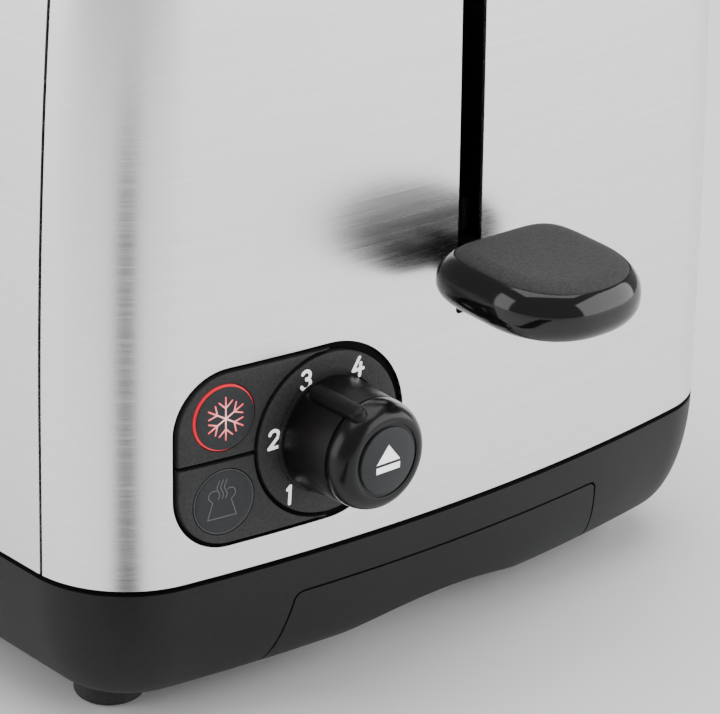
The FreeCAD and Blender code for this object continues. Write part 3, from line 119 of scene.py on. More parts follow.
def plan_ring(z, inset, lean=True, bow_steps=44, corner_steps=18, side_steps=40):
    """The closed plan outline at a height, as points that match up from ring to ring."""
    half_width, half_length, bow, corner, corner_x, corner_y, turn = plan_form(z, inset, lean)
    quarter = [(bow * math.sin(a), bow - half_length - bow * math.cos(a))
               for a in spaced(0.0, turn, bow_steps)]
    quarter += [(corner_x + corner * math.sin(a), corner_y - corner * math.cos(a))
                for a in spaced(turn, math.pi / 2.0, corner_steps)]
    quarter += [(half_width, y) for y in spaced(corner_y, 0.0, side_steps)]
    middle = [(half_width, 0.0)]
    right = quarter + middle + [(x, -y) for x, y in reversed(quarter)]
    ring = right + [(-x, y) for x, y in reversed(right[1:-1])]
    return [Vector((x, MIDDLE_Y + y, z)) for x, y in ring]


def front_surface(x, z):
    """The y of the body's front surface."""
    _, half_length, bow, corner, corner_x, corner_y, turn = plan_form(z, 0.0, True)
    x = abs(x)
    if x <= bow * math.sin(turn):
        y = bow - half_length - math.sqrt(bow * bow - x * x)
    else:
        y = corner_y - math.sqrt(corner * corner - (x - corner_x) ** 2)
    return MIDDLE_Y + y


# ---- mesh helpers
WELD = 0.001
FLAT_WELD = 0.00001
PLATE_POINT_GAP = 1.2
EDGE_STEPS = 3
CUT_REACH = 10.0
INK_THICK = 0.04


def make_object(name, mesh):
    obj = bpy.data.objects.new(name, mesh)
    bpy.context.scene.collection.objects.link(obj)
    return obj


def object_from(name, points, faces):
    mesh = bpy.data.meshes.new(name)
    mesh.from_pydata([Vector(p) * MM for p in points], [], faces)
    mesh.update()
    obj = make_object(name, mesh)
    tidy_normals(obj)
    mesh.shade_smooth()
    return obj


def tidy_normals(obj):
    bm = bmesh.new()
    bm.from_mesh(obj.data)
    bmesh.ops.remove_doubles(bm, verts=bm.verts, dist=WELD * MM)
    bmesh.ops.recalc_face_normals(bm, faces=bm.faces)
    bm.to_mesh(obj.data)
    bm.free()


def keep_side(obj, place, normal):
    """Cuts the mesh with a plane and keeps what is behind it."""
    bm = bmesh.new()
    bm.from_mesh(obj.data)
    geometry = bm.verts[:] + bm.edges[:] + bm.faces[:]
    place = Vector(place) * MM
    bmesh.ops.bisect_plane(bm, geom=geometry, plane_co=place, plane_no=Vector(normal), clear_outer=True)
    bm.to_mesh(obj.data)
    bm.free()


def bake_modifiers(obj):
    """Turns the modifiers' result into the object's own mesh."""
    bpy.context.view_layer.update()
    depsgraph = bpy.context.evaluated_depsgraph_get()
    mesh = bpy.data.meshes.new_from_object(obj.evaluated_get(depsgraph))
    obj.modifiers.clear()
    old = obj.data
    obj.data = mesh
    bpy.data.meshes.remove(old)


def solidify(obj, thickness, offset=-1.0):
    mod = obj.modifiers.new("thickness", "SOLIDIFY")
    mod.thickness = thickness * MM
    mod.offset = offset
    mod.use_even_offset = True
    bake_modifiers(obj)


def cut_away(obj, cutter, operation="DIFFERENCE"):
    mod = obj.modifiers.new("cut", "BOOLEAN")
    mod.operation = operation
    mod.object = cutter
    mod.solver = "EXACT"
    bake_modifiers(obj)
    bpy.data.objects.remove(cutter)


def soften(obj, width, segments=2, angle=40.0):
    """Rounds the sharp edges a little and keeps the faces beside them true."""
    mod = obj.modifiers.new("soft_edges", "BEVEL")
    mod.width = width * MM
    mod.segments = segments
    mod.limit_method = "ANGLE"
    mod.angle_limit = math.radians(angle)
    mod.harden_normals = True
    mod.use_clamp_overlap = True


def loft(name, rings, close_start=True, close_end=True, loop_rings=False):
    """Skins closed rings of equal length, one after another."""
    count = len(rings[0])
    points = [p for ring in rings for p in ring]
    faces = []
    pairs = list(zip(range(len(rings) - 1), range(1, len(rings))))
    if loop_rings:
        pairs.append((len(rings) - 1, 0))
    for a, b in pairs:
        for i in range(count):
            j = (i + 1) % count
            faces.append((a * count + i, a * count + j, b * count + j, b * count + i))
    if close_start and not loop_rings:
        faces.append(tuple(range(count)))
    if close_end and not loop_rings:
        faces.append(tuple(range((len(rings) - 1) * count, len(rings) * count)))
    return object_from(name, points, faces)


def prism(name, loop, y0, y1):
    """A solid cutter with an (x, z) outline, from y0 to y1."""
    rings = [[Vector((x, y, z)) for x, z in loop] for y in (y0, y1)]
    return loft(name, rings)


def revolve(name, profile, centre, axis="Y", steps=128):
    """Turns (radius, height) corners about an axis; a profile that starts and ends at radius 0 is closed."""
    rings = []
    for radius, height in profile:
        ring = []
        for i in range(steps):
            a = 2.0 * math.pi * i / steps
            u, v = radius * math.cos(a), radius * math.sin(a)
            offset = Vector((u, -height, v)) if axis == "Y" else Vector((u, v, height))
            ring.append(Vector(centre) + offset)
        rings.append(ring)
    return loft(name, rings)


def finish_piece(obj, body, mat, nodes=()):
    """Gives a piece its material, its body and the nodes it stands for."""
    obj.data.materials.clear()
    obj.data.materials.append(mat)
    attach(obj, body)
    if nodes:
        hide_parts(*nodes)


# ---- flat outlines
def circle_loop(cx, cz, radius, steps=96):
    turns = [2 * math.pi * i / steps for i in range(steps)]
    return [(cx + radius * math.cos(a), cz + radius * math.sin(a)) for a in turns]


def arc_points(cx, cz, radius, start, end, steps):
    angles = [math.radians(start + (end - start) * i / steps) for i in range(steps + 1)]
    return [(cx + radius * math.cos(a), cz + radius * math.sin(a)) for a in angles]


def dense(loop, gap):
    """Adds points along long edges so that a loop can follow a curved surface."""
    out = []
    for i, (x0, z0) in enumerate(loop):
        x1, z1 = loop[(i + 1) % len(loop)]
        parts = max(1, int(math.hypot(x1 - x0, z1 - z0) / gap))
        out += [(x0 + (x1 - x0) * k / parts, z0 + (z1 - z0) * k / parts) for k in range(parts)]
    return out


def loop_area(loop):
    return sum(x0 * z1 - x1 * z0 for (x0, z0), (x1, z1) in zip(loop, loop[1:] + loop[:1])) / 2.0


def offset_loop(loop, distance):
    """Moves a loop's points sideways: inwards for an anticlockwise loop, outwards for a clockwise one."""
    out = []
    count = len(loop)
    for i in range(count):
        before, here, after = (Vector(loop[k % count]) for k in (i - 1, i, i + 1))
        d0 = (here - before).normalized()
        d1 = (after - here).normalized()
        n0, n1 = Vector((-d0.y, d0.x)), Vector((-d1.y, d1.x))
        middle = (n0 + n1).normalized()
        stretch = 1.0 / max(0.4, middle.dot(n0))
        point = here + middle * distance * stretch
        out.append((point.x, point.y))
    return out


def triangulated(loops, gap):
    """Triangles that fill the first loop less the others, with a grid of points inside."""
    points = [Vector(p) for loop in loops for p in loop]
    faces = []
    start = 0
    for loop in loops:
        faces.append(list(range(start, start + len(loop))))
        start += len(loop)
    xs = [p[0] for p in loops[0]]
    zs = [p[1] for p in loops[0]]
    nx = int((max(xs) - min(xs)) / gap)
    nz = int((max(zs) - min(zs)) / gap)
    for i in range(1, nx):
        for k in range(1, nz):
            p = (min(xs) + (max(xs) - min(xs)) * i / nx, min(zs) + (max(zs) - min(zs)) * k / nz)
            if all(distance_to_loop(p, loop) > gap * 0.4 for loop in loops) and inside_shape(p, loops):
                points.append(Vector(p))
    edges = []
    start = 0
    for loop in loops:
        count = len(loop)
        edges += [(start + i, start + (i + 1) % count) for i in range(count)]
        start += count
    out_points, _, out_faces, *_ = delaunay_2d_cdt(points, edges, [], 0, FLAT_WELD)
    keep = []
    for face in out_faces:
        cx = sum(out_points[i].x for i in face) / len(face)
        cz = sum(out_points[i].y for i in face) / len(face)
        if inside_shape((cx, cz), loops):
            keep.append(tuple(face))
    return [(p.x, p.y) for p in out_points], keep


def inside_loop(point, loop):
    x, z = point
    inside = False
    for (x0, z0), (x1, z1) in zip(loop, loop[1:] + loop[:1]):
        if (z0 > z) != (z1 > z) and x < (x1 - x0) * (z - z0) / (z1 - z0) + x0:
            inside = not inside
    return inside


def inside_shape(point, loops):
    return inside_loop(point, loops[0]) and not any(inside_loop(point, loop) for loop in loops[1:])


def distance_to_loop(point, loop):
    return min(math.hypot(point[0] - x, point[1] - z) for x, z in loop)


def front_plate(name, loops, depth, thickness, edge, gap=2.5):
    """A plate that follows the front's bow, with rounded front edges.

    loops are (x, z) outlines, the outer one first. depth is how far the face lies behind the body."""
    loops = [dense(loop, PLATE_POINT_GAP) for loop in loops]
    loops = [loop if (loop_area(loop) > 0) == (k == 0) else loop[::-1] for k, loop in enumerate(loops)]
    points, faces = [], []
    inner_loops = []
    for loop in loops:
        bands = [(0.0, thickness)]
        for i in range(EDGE_STEPS + 1):
            a = math.pi / 2.0 * i / EDGE_STEPS
            bands.append((edge * (1 - math.cos(a)), edge * (1 - math.sin(a))))
        rows = [(offset_loop(loop, shift) if shift else loop, back) for shift, back in bands]
        start = len(points)
        count = len(loop)
        for moved, back in rows:
            points += [(x, front_surface(x, z) + depth + back, z) for x, z in moved]
        for r in range(len(rows) - 1):
            for i in range(count):
                j = (i + 1) % count
                a, b = start + r * count, start + (r + 1) * count
                faces.append((a + i, a + j, b + j, b + i))
        inner_loops.append(rows[-1][0])
    for flat, back in ((inner_loops, 0.0), (loops, thickness)):
        plane, triangles = triangulated(flat, gap)
        start = len(points)
        points += [(x, front_surface(x, z) + depth + back, z) for x, z in plane]
        faces += [tuple(start + i for i in face) for face in triangles]
    obj = object_from(name, points, faces)
    soft_shading(obj)
    return obj


def soft_shading(obj, angle=35.0):
    """Smooth faces, with edges sharper than the angle left crisp."""
    obj.data.shade_smooth()
    obj.data.set_sharp_from_angle(angle=math.radians(angle))


def stroke(points, width):
    """Outlines of a rounded pen stroke: a capsule for each part of the line."""
    shapes = []
    r = width / 2.0
    for (x0, z0), (x1, z1) in zip(points, points[1:]):
        heading = math.degrees(math.atan2(z1 - z0, x1 - x0))
        shapes.append(arc_points(x1, z1, r, heading - 90, heading + 90, 8)
                      + arc_points(x0, z0, r, heading + 90, heading + 270, 8))
    return shapes


def mark(name, shapes, centre, height):
    """A printed mark: the union of flat outlines, laid on the front's bow at a height above it."""
    points, faces = [], []
    for shape in shapes:
        faces.append(list(range(len(points), len(points) + len(shape))))
        points += [Vector(p) for p in shape]
    flat, _, triangles, *_ = delaunay_2d_cdt(points, [], faces, 1, FLAT_WELD)
    placed = []
    for p in flat:
        x, z = centre[0] + p.x, centre[1] + p.y
        placed.append((x, front_surface(x, z) - height, z))
    obj = object_from(name, placed, [tuple(f) for f in triangles])
    face_front(obj)
    solidify(obj, INK_THICK, offset=1.0)
    soft_shading(obj)
    return obj


def face_front(obj):
    """Turns every face of an open sheet towards -Y."""
    bm = bmesh.new()
    bm.from_mesh(obj.data)
    for face in bm.faces:
        face.normal_update()
        if face.normal.y > 0:
            face.normal_flip()
    bm.to_mesh(obj.data)
    bm.free()


# ---- materials
def new_material(name, **values):
    """A Principled material with uniform values on its own sockets."""
    mat = bpy.data.materials.new(name)
    mat.use_nodes = True
    shader = mat.node_tree.nodes["Principled BSDF"]
    for key, value in values.items():
        shader.inputs[key.replace("_", " ")].default_value = value
    return mat, mat.node_tree, shader


def grey(value, tint=(1.0, 1.0, 1.0)):
    return (value * tint[0], value * tint[1], value * tint[2], 1.0)


def add_node(tree, kind, **inputs):
    node = tree.nodes.new(kind)
    for key, value in inputs.items():
        node.inputs[key.replace("_", " ")].default_value = value
    return node


def stretched_noise(tree, scale, detail=4.0, roughness=0.6):
    """Noise on the object's own coordinates, in cycles per metre along each axis."""
    coords = tree.nodes.new("ShaderNodeTexCoord")
    mapping = add_node(tree, "ShaderNodeMapping", Scale=scale)
    noise = add_node(tree, "ShaderNodeTexNoise", Scale=1.0, Detail=detail, Roughness=roughness)
    tree.links.new(coords.outputs["Object"], mapping.inputs["Vector"])
    tree.links.new(mapping.outputs["Vector"], noise.inputs["Vector"])
    return noise.outputs["Fac"]


def ranged(tree, value, low, high, start=0.3, end=0.7):
    """A value stretched from the noise's usual range to low..high."""
    node = add_node(tree, "ShaderNodeMapRange")
    node.inputs["From Min"].default_value = start
    node.inputs["From Max"].default_value = end
    node.inputs["To Min"].default_value = low
    node.inputs["To Max"].default_value = high
    tree.links.new(value, node.inputs["Value"])
    return node.outputs["Result"]


def tinted(tree, value, dark, light):
    """A colour between two by a 0..1 value."""
    node = tree.nodes.new("ShaderNodeMix")
    node.data_type = "RGBA"
    node.inputs["A"].default_value = dark
    node.inputs["B"].default_value = light
    tree.links.new(value, node.inputs["Factor"])
    return node.outputs["Result"]


def bumped(tree, shader, height, strength, distance):
    node = add_node(tree, "ShaderNodeBump", Strength=strength, Distance=distance)
    tree.links.new(height, node.inputs["Height"])
    tree.links.new(node.outputs["Normal"], shader.inputs["Normal"])


def added(tree, a, b, share):
    """a plus share of b."""
    node = tree.nodes.new("ShaderNodeMath")
    node.operation = "MULTIPLY_ADD"
    tree.links.new(b, node.inputs[0])
    node.inputs[1].default_value = share
    tree.links.new(a, node.inputs[2])
    return node.outputs["Value"]


def paint(tree, shader, colour, gloss=None):
    """Links a colour to the shader, and a roughness where one is given."""
    tree.links.new(colour, shader.inputs["Base Color"])
    if gloss:
        tree.links.new(gloss, shader.inputs["Roughness"])


def brushed_steel(name, along, across, value=0.86):
    """Satin steel: long fine scratches along one direction, with slow cloudy variation in the gloss."""
    mat, tree, shader = new_material(name, Metallic=1.0, Anisotropic=0.55)
    grain = stretched_noise(tree, [across * k for k in along], detail=5.0, roughness=0.7)
    fine = stretched_noise(tree, [across * 3.1 * k for k in along], detail=2.0)
    cloud = stretched_noise(tree, (9.0, 9.0, 9.0), detail=2.0)
    mixed = added(tree, grain, fine, 0.5)
    shade = ranged(tree, mixed, 0.0, 1.0, start=0.55, end=0.95)
    colour = tinted(tree, shade, grey(value * 0.93), grey(value, (1.0, 0.998, 0.99)))
    gloss = ranged(tree, added(tree, mixed, cloud, 0.35), 0.23, 0.29, start=0.7, end=1.15)
    paint(tree, shader, colour, gloss)
    tangent = tree.nodes.new("ShaderNodeTangent")
    tangent.direction_type = "RADIAL"
    tangent.axis = "Z"
    tree.links.new(tangent.outputs["Tangent"], shader.inputs["Tangent"])
    bumped(tree, shader, mixed, 0.05, 0.00006)
    return mat


def grained_plastic(name, value, roughness, grain=2600.0, depth=0.00005, strength=0.5, tint=(1.0, 1.0, 1.03),
                    shine=0.2):
    """Moulded black plastic with a fine spark-eroded grain and a faint uneven sheen."""
    mat, tree, shader = new_material(name, IOR=1.49, Specular_IOR_Level=shine)
    pebble = stretched_noise(tree, (grain, grain, grain), detail=2.0, roughness=0.5)
    coarse = stretched_noise(tree, (grain * 0.3,) * 3, detail=2.0)
    cloud = stretched_noise(tree, (14.0, 14.0, 14.0), detail=3.0)
    shade = ranged(tree, pebble, 0.0, 1.0)
    colour = tinted(tree, shade, grey(value * 0.8, tint), grey(value * 1.25, tint))
    paint(tree, shader, colour, ranged(tree, cloud, roughness - 0.05, roughness + 0.06))
    bumped(tree, shader, added(tree, pebble, coarse, 0.6), strength, depth)
    return mat


def gloss_plastic(name, value, roughness=0.09, shine=0.4):
    """Polished black plastic with the faintest orange peel and handling marks in the gloss."""
    mat, tree, shader = new_material(name, IOR=1.52, Specular_IOR_Level=shine)
    peel = stretched_noise(tree, (90.0, 90.0, 90.0), detail=2.0)
    smear = stretched_noise(tree, (45.0, 60.0, 60.0), detail=5.0)
    colour = tinted(tree, smear, grey(value * 0.85), grey(value * 1.2))
    paint(tree, shader, colour, ranged(tree, smear, roughness * 0.7, roughness * 1.5))
    bumped(tree, shader, peel, 0.06, 0.0002)
    return mat


def rubber(name, value):
    tint = (1.0, 1.0, 1.0)
    return grained_plastic(name, value, 0.7, grain=1500.0, depth=0.00004, strength=0.4, tint=tint)


def plated_steel(name, value, roughness, grain=(60.0, 60.0, 60.0), tint=(1.0, 1.0, 1.0)):
    """Plain sheet or wire steel with a mottled plated surface."""
    mat, tree, shader = new_material(name, Metallic=1.0)
    mottle = stretched_noise(tree, grain, detail=5.0, roughness=0.65)
    shade = ranged(tree, mottle, 0.0, 1.0)
    colour = tinted(tree, shade, grey(value * 0.85, tint), grey(value, tint))
    paint(tree, shader, colour, ranged(tree, mottle, roughness * 0.8, roughness * 1.25))
    bumped(tree, shader, mottle, 0.08, 0.00005)
    return mat


def painted_mark(name, colour, glow=0.0):
    """Printing ink, with an optional painted glow: emission that keeps it bright in shade."""
    mat, tree, shader = new_material(name, Roughness=0.45)
    speck = stretched_noise(tree, (3000.0, 3000.0, 3000.0), detail=1.0)
    shade = ranged(tree, speck, 0.0, 1.0)
    dark = tuple(c * 0.9 for c in colour[:3]) + (1.0,)
    paint(tree, shader, tinted(tree, shade, dark, colour))
    shader.inputs["Emission Strength"].default_value = glow
    shader.inputs["Emission Color"].default_value = (1.0, 1.0, 1.0, 1.0)
    return mat


def lit_window(name, centre, radius, core, edge, glow):
    """A lit mark that is palest at its centre, where the lamp sits behind it."""
    mat, tree, shader = new_material(name, Roughness=0.4, Emission_Strength=glow)
    coords = tree.nodes.new("ShaderNodeTexCoord")
    away = tree.nodes.new("ShaderNodeVectorMath")
    away.operation = "DISTANCE"
    away.inputs[1].default_value = [c * MM for c in centre]
    tree.links.new(coords.outputs["Object"], away.inputs[0])
    share = ranged(tree, away.outputs["Value"], 0.0, 1.0, start=0.0, end=radius * MM)
    colour = tinted(tree, share, core, edge)
    paint(tree, shader, colour)
    tree.links.new(colour, shader.inputs["Emission Color"])
    return mat


def mica(name):
    mat, tree, shader = new_material(name, Roughness=0.42, IOR=1.56)
    flakes = stretched_noise(tree, (160.0, 220.0, 90.0), detail=6.0, roughness=0.7)
    shade = ranged(tree, flakes, 0.0, 1.0)
    colour = tinted(tree, shade, (0.42, 0.35, 0.24, 1.0), (0.72, 0.66, 0.52, 1.0))
    paint(tree, shader, colour)
    bumped(tree, shader, flakes, 0.2, 0.0001)
    return mat


STEEL_END = brushed_steel("brushed_steel_ends", (0.012, 0.012, 1.0), 900.0)
STEEL_COVER = brushed_steel("brushed_steel_cover", (1.0, 0.012, 1.0), 900.0)
BASE_PLASTIC = grained_plastic("base_plastic", 0.010, 0.50)
CONTROL_PLASTIC = grained_plastic("control_plastic", 0.027, 0.48, grain=1700.0, depth=0.0001, strength=0.7)
DIAL_PLASTIC = grained_plastic("dial_plastic", 0.005, 0.42, grain=2400.0, depth=0.00006)
BUTTON_PLASTIC = grained_plastic("button_plastic", 0.026, 0.42, grain=3000.0, depth=0.00002,
                                 tint=(0.92, 1.0, 1.06))
GLOSS_BLACK = gloss_plastic("gloss_black", 0.004)
DIAL_GLOSS = gloss_plastic("dial_gloss", 0.004, 0.19, shine=0.26)
SOFT_TOUCH = rubber("soft_touch", 0.037)
FOOT_RUBBER = rubber("foot_rubber", 0.030)
# Near-black matte frame plastic. It is also painted shade in the seams between the steel panels, the gap above the
# base and the grooves round the control plates.
FRAME_BLACK_AND_SEAM_SHADE = grained_plastic("frame_black_and_seam_shade", 0.002, 0.6, grain=800.0, shine=0.05)
ZINC_STEEL = plated_steel("zinc_steel", 0.62, 0.34)
BRIGHT_WIRE = plated_steel("bright_wire", 0.75, 0.18, grain=(200.0, 30.0, 200.0))
NICHROME = plated_steel("nichrome", 0.34, 0.45, grain=(300.0, 80.0, 300.0), tint=(1.0, 0.92, 0.86))
COPPER = plated_steel("enamelled_copper", 0.72, 0.3, grain=(200.0, 200.0, 1400.0), tint=(1.0, 0.5, 0.25))
CORE_STEEL = plated_steel("core_steel", 0.3, 0.5, grain=(30.0, 900.0, 30.0))
MICA = mica("mica")
BOARD_GREEN = grained_plastic("board_laminate", 0.11, 0.3, grain=500.0, tint=(0.25, 1.0, 0.4))
SWITCH_BLACK = grained_plastic("switch_plastic", 0.02, 0.4)
NYLON = grained_plastic("bush_nylon", 0.62, 0.4, grain=900.0, tint=(1.0, 0.98, 0.92))
TERMINAL_PLASTIC = grained_plastic("terminal_plastic", 0.66, 0.4, grain=900.0, tint=(1.0, 0.99, 0.95))
# Painted glow: the white print emits light so the numerals and the eject symbol stay pure white in shade.
GLOWING_WHITE_INK = painted_mark("white_ink_painted_glow", (0.92, 0.93, 0.94, 1.0), 0.75)
GREY_INK = painted_mark("grey_ink", (0.10, 0.105, 0.11, 1.0))
CLEAR_GUIDE = gloss_plastic("unlit_light_guide", 0.035, 0.25)

SLOT_MATERIALS = {
    "brushed_steel_shell": STEEL_COVER,
    "black_base_plastic": BASE_PLASTIC,
    "black_inner_frame": FRAME_BLACK_AND_SEAM_SHADE,
    "foot_rubber": FOOT_RUBBER,
    "control_plate_plastic": CONTROL_PLASTIC,
    "dial_black": DIAL_PLASTIC,
    "gloss_black": GLOSS_BLACK,
    "soft_touch_grey": SOFT_TOUCH,
    "button_grey": BUTTON_PLASTIC,
    "red_light_guide": CLEAR_GUIDE,
    "clear_light_guide": CLEAR_GUIDE,
    "zinc_steel": ZINC_STEEL,
    "bright_steel": BRIGHT_WIRE,
    "mica_board": MICA,
    "nichrome": NICHROME,
    "circuit_board": BOARD_GREEN,
    "switch_plastic": SWITCH_BLACK,
    "winding_copper": COPPER,
    "core_steel": CORE_STEEL,
    "bush_plastic": NYLON,
    "terminal_white": TERMINAL_PLASTIC,
}


def dress_frame():
    """Every CAD node gets the material of its slot in the record, except the control bezel, whose near-black is
    painted shade in the grooves round the control plates.
    """
    slots = {part["node"]: part["material_slot"] for part in frame["record"]["subparts"]}
    for name, node in frame["nodes"].items():
        node.data.materials.clear()
        # the bezel shows only through the grooves round the plates; its near-black there is painted shade
        mat = FRAME_BLACK_AND_SEAM_SHADE if name == "control_bezel" else SLOT_MATERIALS[slots[name]]
        node.data.materials.append(mat)


# ---- steel shells
def body_rings(low, wall_steps=44, shoulder_steps=14):
    """Rings up the wall and round the shoulder to the flat top."""
    shoulder_low = BODY_TOP - SHOULDER_RADIUS
    rings = [plan_ring(z, 0.0) for z in spaced(low, shoulder_low, wall_steps)]
    for i in range(shoulder_steps + 1):
        a = math.pi / 2.0 * i / shoulder_steps
        inset = SHOULDER_RADIUS * (1.0 - math.cos(a))
        rings.append(plan_ring(shoulder_low + SHOULDER_RADIUS * math.sin(a), inset))
    return rings


def body_skin(name):
    return loft(name, body_rings(STEEL_LOW), close_start=False, close_end=True)


def rounded_box_loop(x0, x1, z0, z1, radius, steps=8):
    return (arc_points(x1 - radius, z1 - radius, radius, 0, 90, steps)
            + arc_points(x0 + radius, z1 - radius, radius, 90, 180, steps)
            + arc_points(x0 + radius, z0 + radius, radius, 180, 270, steps)
            + arc_points(x1 - radius, z0 + radius, radius, 270, 360, steps))


LEVER_SLOT_WIDTH = 6.6
LEVER_SLOT_BELOW = 7.3
LEVER_SLOT_ABOVE = 2.0
LEVER_SLOT_CORNER = 1.0
BEZEL_CUT_DEPTH = 30.0
STEEL_EDGE = 0.22
BEZEL_LEFT = 72.4
BEZEL_CORNER = 12.0
BEZEL_GAP = 0.5
BEZEL_HALF = 18.7
RING_RADIUS = 17.3


def lever_slot_loop():
    half = LEVER_SLOT_WIDTH / 2.0
    low = ARM_BOX[0].z - LEVER_SLOT_BELOW
    high = ARM_BOX[1].z + LEVER_TRAVEL + LEVER_SLOT_ABOVE
    return rounded_box_loop(-half, half, low, high, LEVER_SLOT_CORNER)


def bezel_loop(grow):
    """The control plate's outline: a rounded box that ends in the ring's half circle."""
    half = BEZEL_HALF + grow
    radius = BEZEL_CORNER + grow
    left = -BEZEL_LEFT - grow
    cx = left + radius
    return (arc_points(DIAL_X, DIAL_Z, half, -90, 90, 48)
            + arc_points(cx, DIAL_Z + half - radius, radius, 90, 180, 14)
            + arc_points(cx, DIAL_Z - half + radius, radius, 180, 270, 14))


def front_panel():
    panel = body_skin("front_panel_shell")
    keep_side(panel, (0, FRONT_PANEL_BOX[1].y, 0), (0, 1, 0))
    solidify(panel, SHEET)
    y0, y1 = FRONT_Y - CUT_REACH, FRONT_Y + BEZEL_CUT_DEPTH
    cut_away(panel, prism("slot_cutter", lever_slot_loop(), y0, y1))
    cut_away(panel, prism("bezel_cutter", dense(bezel_loop(BEZEL_GAP), 1.5), y0, y1))
    soften(panel, STEEL_EDGE)
    finish_piece(panel, "housing", STEEL_END, ["front_end_panel"])


def rear_panel():
    panel = body_skin("rear_panel_shell")
    keep_side(panel, (0, REAR_PANEL_BOX[0].y, 0), (0, -1, 0))
    solidify(panel, SHEET)
    soften(panel, STEEL_EDGE)
    finish_piece(panel, "housing", STEEL_END, ["rear_end_panel"])


COLLAR_FLANGE = 3.0
COLLAR_FIT = 0.2
COLLAR_SHEET = 0.8
SLOT_CORNER = 5.0


def slot_plan(side, clearance, z, steps=10):
    """A ring round a bread slot, moved outwards by clearance."""
    low, high = cad_box(side + "_slot_collar")
    grow = clearance - COLLAR_FLANGE
    x0, x1, y0, y1 = low.x - grow, high.x + grow, low.y - grow, high.y + grow
    loop = rounded_box_loop(x0, x1, y0, y1, SLOT_CORNER + clearance, steps)
    return [Vector((x, y, z)) for x, y in dense(loop, 6.0)]


def cover():
    shell = body_skin("cover_shell")
    keep_side(shell, (0, COVER_BOX[0].y, 0), (0, -1, 0))
    keep_side(shell, (0, COVER_BOX[1].y, 0), (0, 1, 0))
    solidify(shell, SHEET)
    for side in ("left", "right"):
        rings = [slot_plan(side, 0.0, z) for z in (BODY_TOP - SHOULDER_RADIUS, BODY_TOP + 5.0)]
        cut_away(shell, loft("slot_cutter", rings))
    soften(shell, STEEL_EDGE)
    finish_piece(shell, "housing", STEEL_COVER, ["outer_cover"])


def slot_collar(side):
    """The folded lining of a bread slot with a rolled upper lip."""
    low, _ = cad_box(side + "_slot_collar")
    under = BODY_TOP - SHEET
    flange = [(COLLAR_FLANGE, under), (COLLAR_FLANGE, under - COLLAR_SHEET)]
    outer, inner = -COLLAR_FIT, -COLLAR_FIT - COLLAR_SHEET
    roll = COLLAR_SHEET / 2.0
    profile = [(inner, low.z), (inner, BODY_TOP - roll)]
    for i in range(1, 8):
        a = math.pi * i / 8
        profile.append((inner + roll - roll * math.cos(a), BODY_TOP - roll + roll * math.sin(a)))
    profile += [(outer, BODY_TOP - roll), (outer, under)] + flange
    profile += [(outer, under - COLLAR_SHEET), (outer, low.z)]
    obj = lofted_collar(side, profile)
    soft_shading(obj, 50.0)
    finish_piece(obj, "housing", ZINC_STEEL, [side + "_slot_collar"])


def lofted_collar(side, profile):
    """All rings of a collar have as many points, so that they can be skinned."""
    base = slot_plan(side, 0.0, 0.0)
    rings = []
    flat = [(p.x, p.y) for p in base]
    if loop_area(flat) < 0:
        flat = flat[::-1]
    for clearance, z in profile:
        moved = offset_loop(flat, -clearance) if clearance else flat
        rings.append([Vector((x, y, z)) for x, y in moved])
    return loft(side + "_collar", rings, loop_rings=True)


# ---- base and crumb tray
HANDLE_TOP_HALF = 43.4
HANDLE_LOW_HALF = 47.0
HANDLE_TOP_DROP = 8.3
HANDLE_GAP = 0.5
HANDLE_CORNER = 2.0
ARCH_HALF = 33.0
ARCH_RISE = 5.5
FINGER_DEPTH = 30.0
BASE_FLOOR = 2.5
BASE_CUT_REACH = 5.0
TRAY_FRONT = cad_box("crumb_tray_pan")[0].y


def base_inset(z):
    share = min(1.0, (BASE_TOP - z) / (BASE_TOP - BASE_LOW))
    return BASE_TUCK * (1.0 - math.sqrt(max(0.0, 1.0 - share * share)))


def base_solid(name, steps=20):
    """The base's outer form, from the seam down and round the tuck."""
    rings = []
    for i in range(steps + 1):
        a = math.pi / 2.0 * i / steps
        z = BASE_TOP - (BASE_TOP - BASE_LOW) * math.sin(a)
        rings.append(plan_ring(z, BASE_TUCK * (1.0 - math.cos(a)), lean=False))
    return loft(name, rings)


def handle_loop(gap):
    top = BASE_TOP - HANDLE_TOP_DROP + gap
    low = BASE_LOW - 1.0
    top_half, low_half = HANDLE_TOP_HALF + gap, HANDLE_LOW_HALF + gap
    radius = HANDLE_CORNER + gap
    corner = [(low_half, low)] + arc_points(top_half - radius, top - radius, radius, 0, 90, 8)
    return corner + [(-x, z) for x, z in reversed(corner)]


def arch_loop():
    low = BASE_LOW - 2.0
    rise = BASE_LOW + ARCH_RISE - low
    radius = (ARCH_HALF ** 2 + rise ** 2) / (2.0 * rise)
    half_turn = math.degrees(math.asin(ARCH_HALF / radius))
    return arc_points(0.0, low + rise - radius, radius, 90 - half_turn, 90 + half_turn, 40)


def base():
    body = base_solid("base_shell")
    cut_away(body, base_cavity())
    y0 = FRONT_Y - BASE_CUT_REACH
    cut_away(body, prism("handle_cutter", dense(handle_loop(HANDLE_GAP), 2.0), y0, TRAY_FRONT + 1.0))
    cut_away(body, prism("arch_cutter", arch_loop(), y0, FRONT_Y + FINGER_DEPTH))
    soften(body, 0.35, segments=3)
    finish_piece(body, "housing", BASE_PLASTIC, ["base_moulding"])


def base_cavity():
    low = BASE_LOW + BASE_FLOOR
    rings = [plan_ring(z, base_inset(z) + BASE_WALL, lean=False) for z in spaced(low, BASE_TOP + 2.0, 12)]
    rings.append(plan_ring(BASE_TOP + 2.0, BASE_WALL, lean=False))
    return loft("base_cavity", rings)


RIM_INSET = 2.4
RIM_WALL = 2.0
RIM_HEIGHT = 5.0


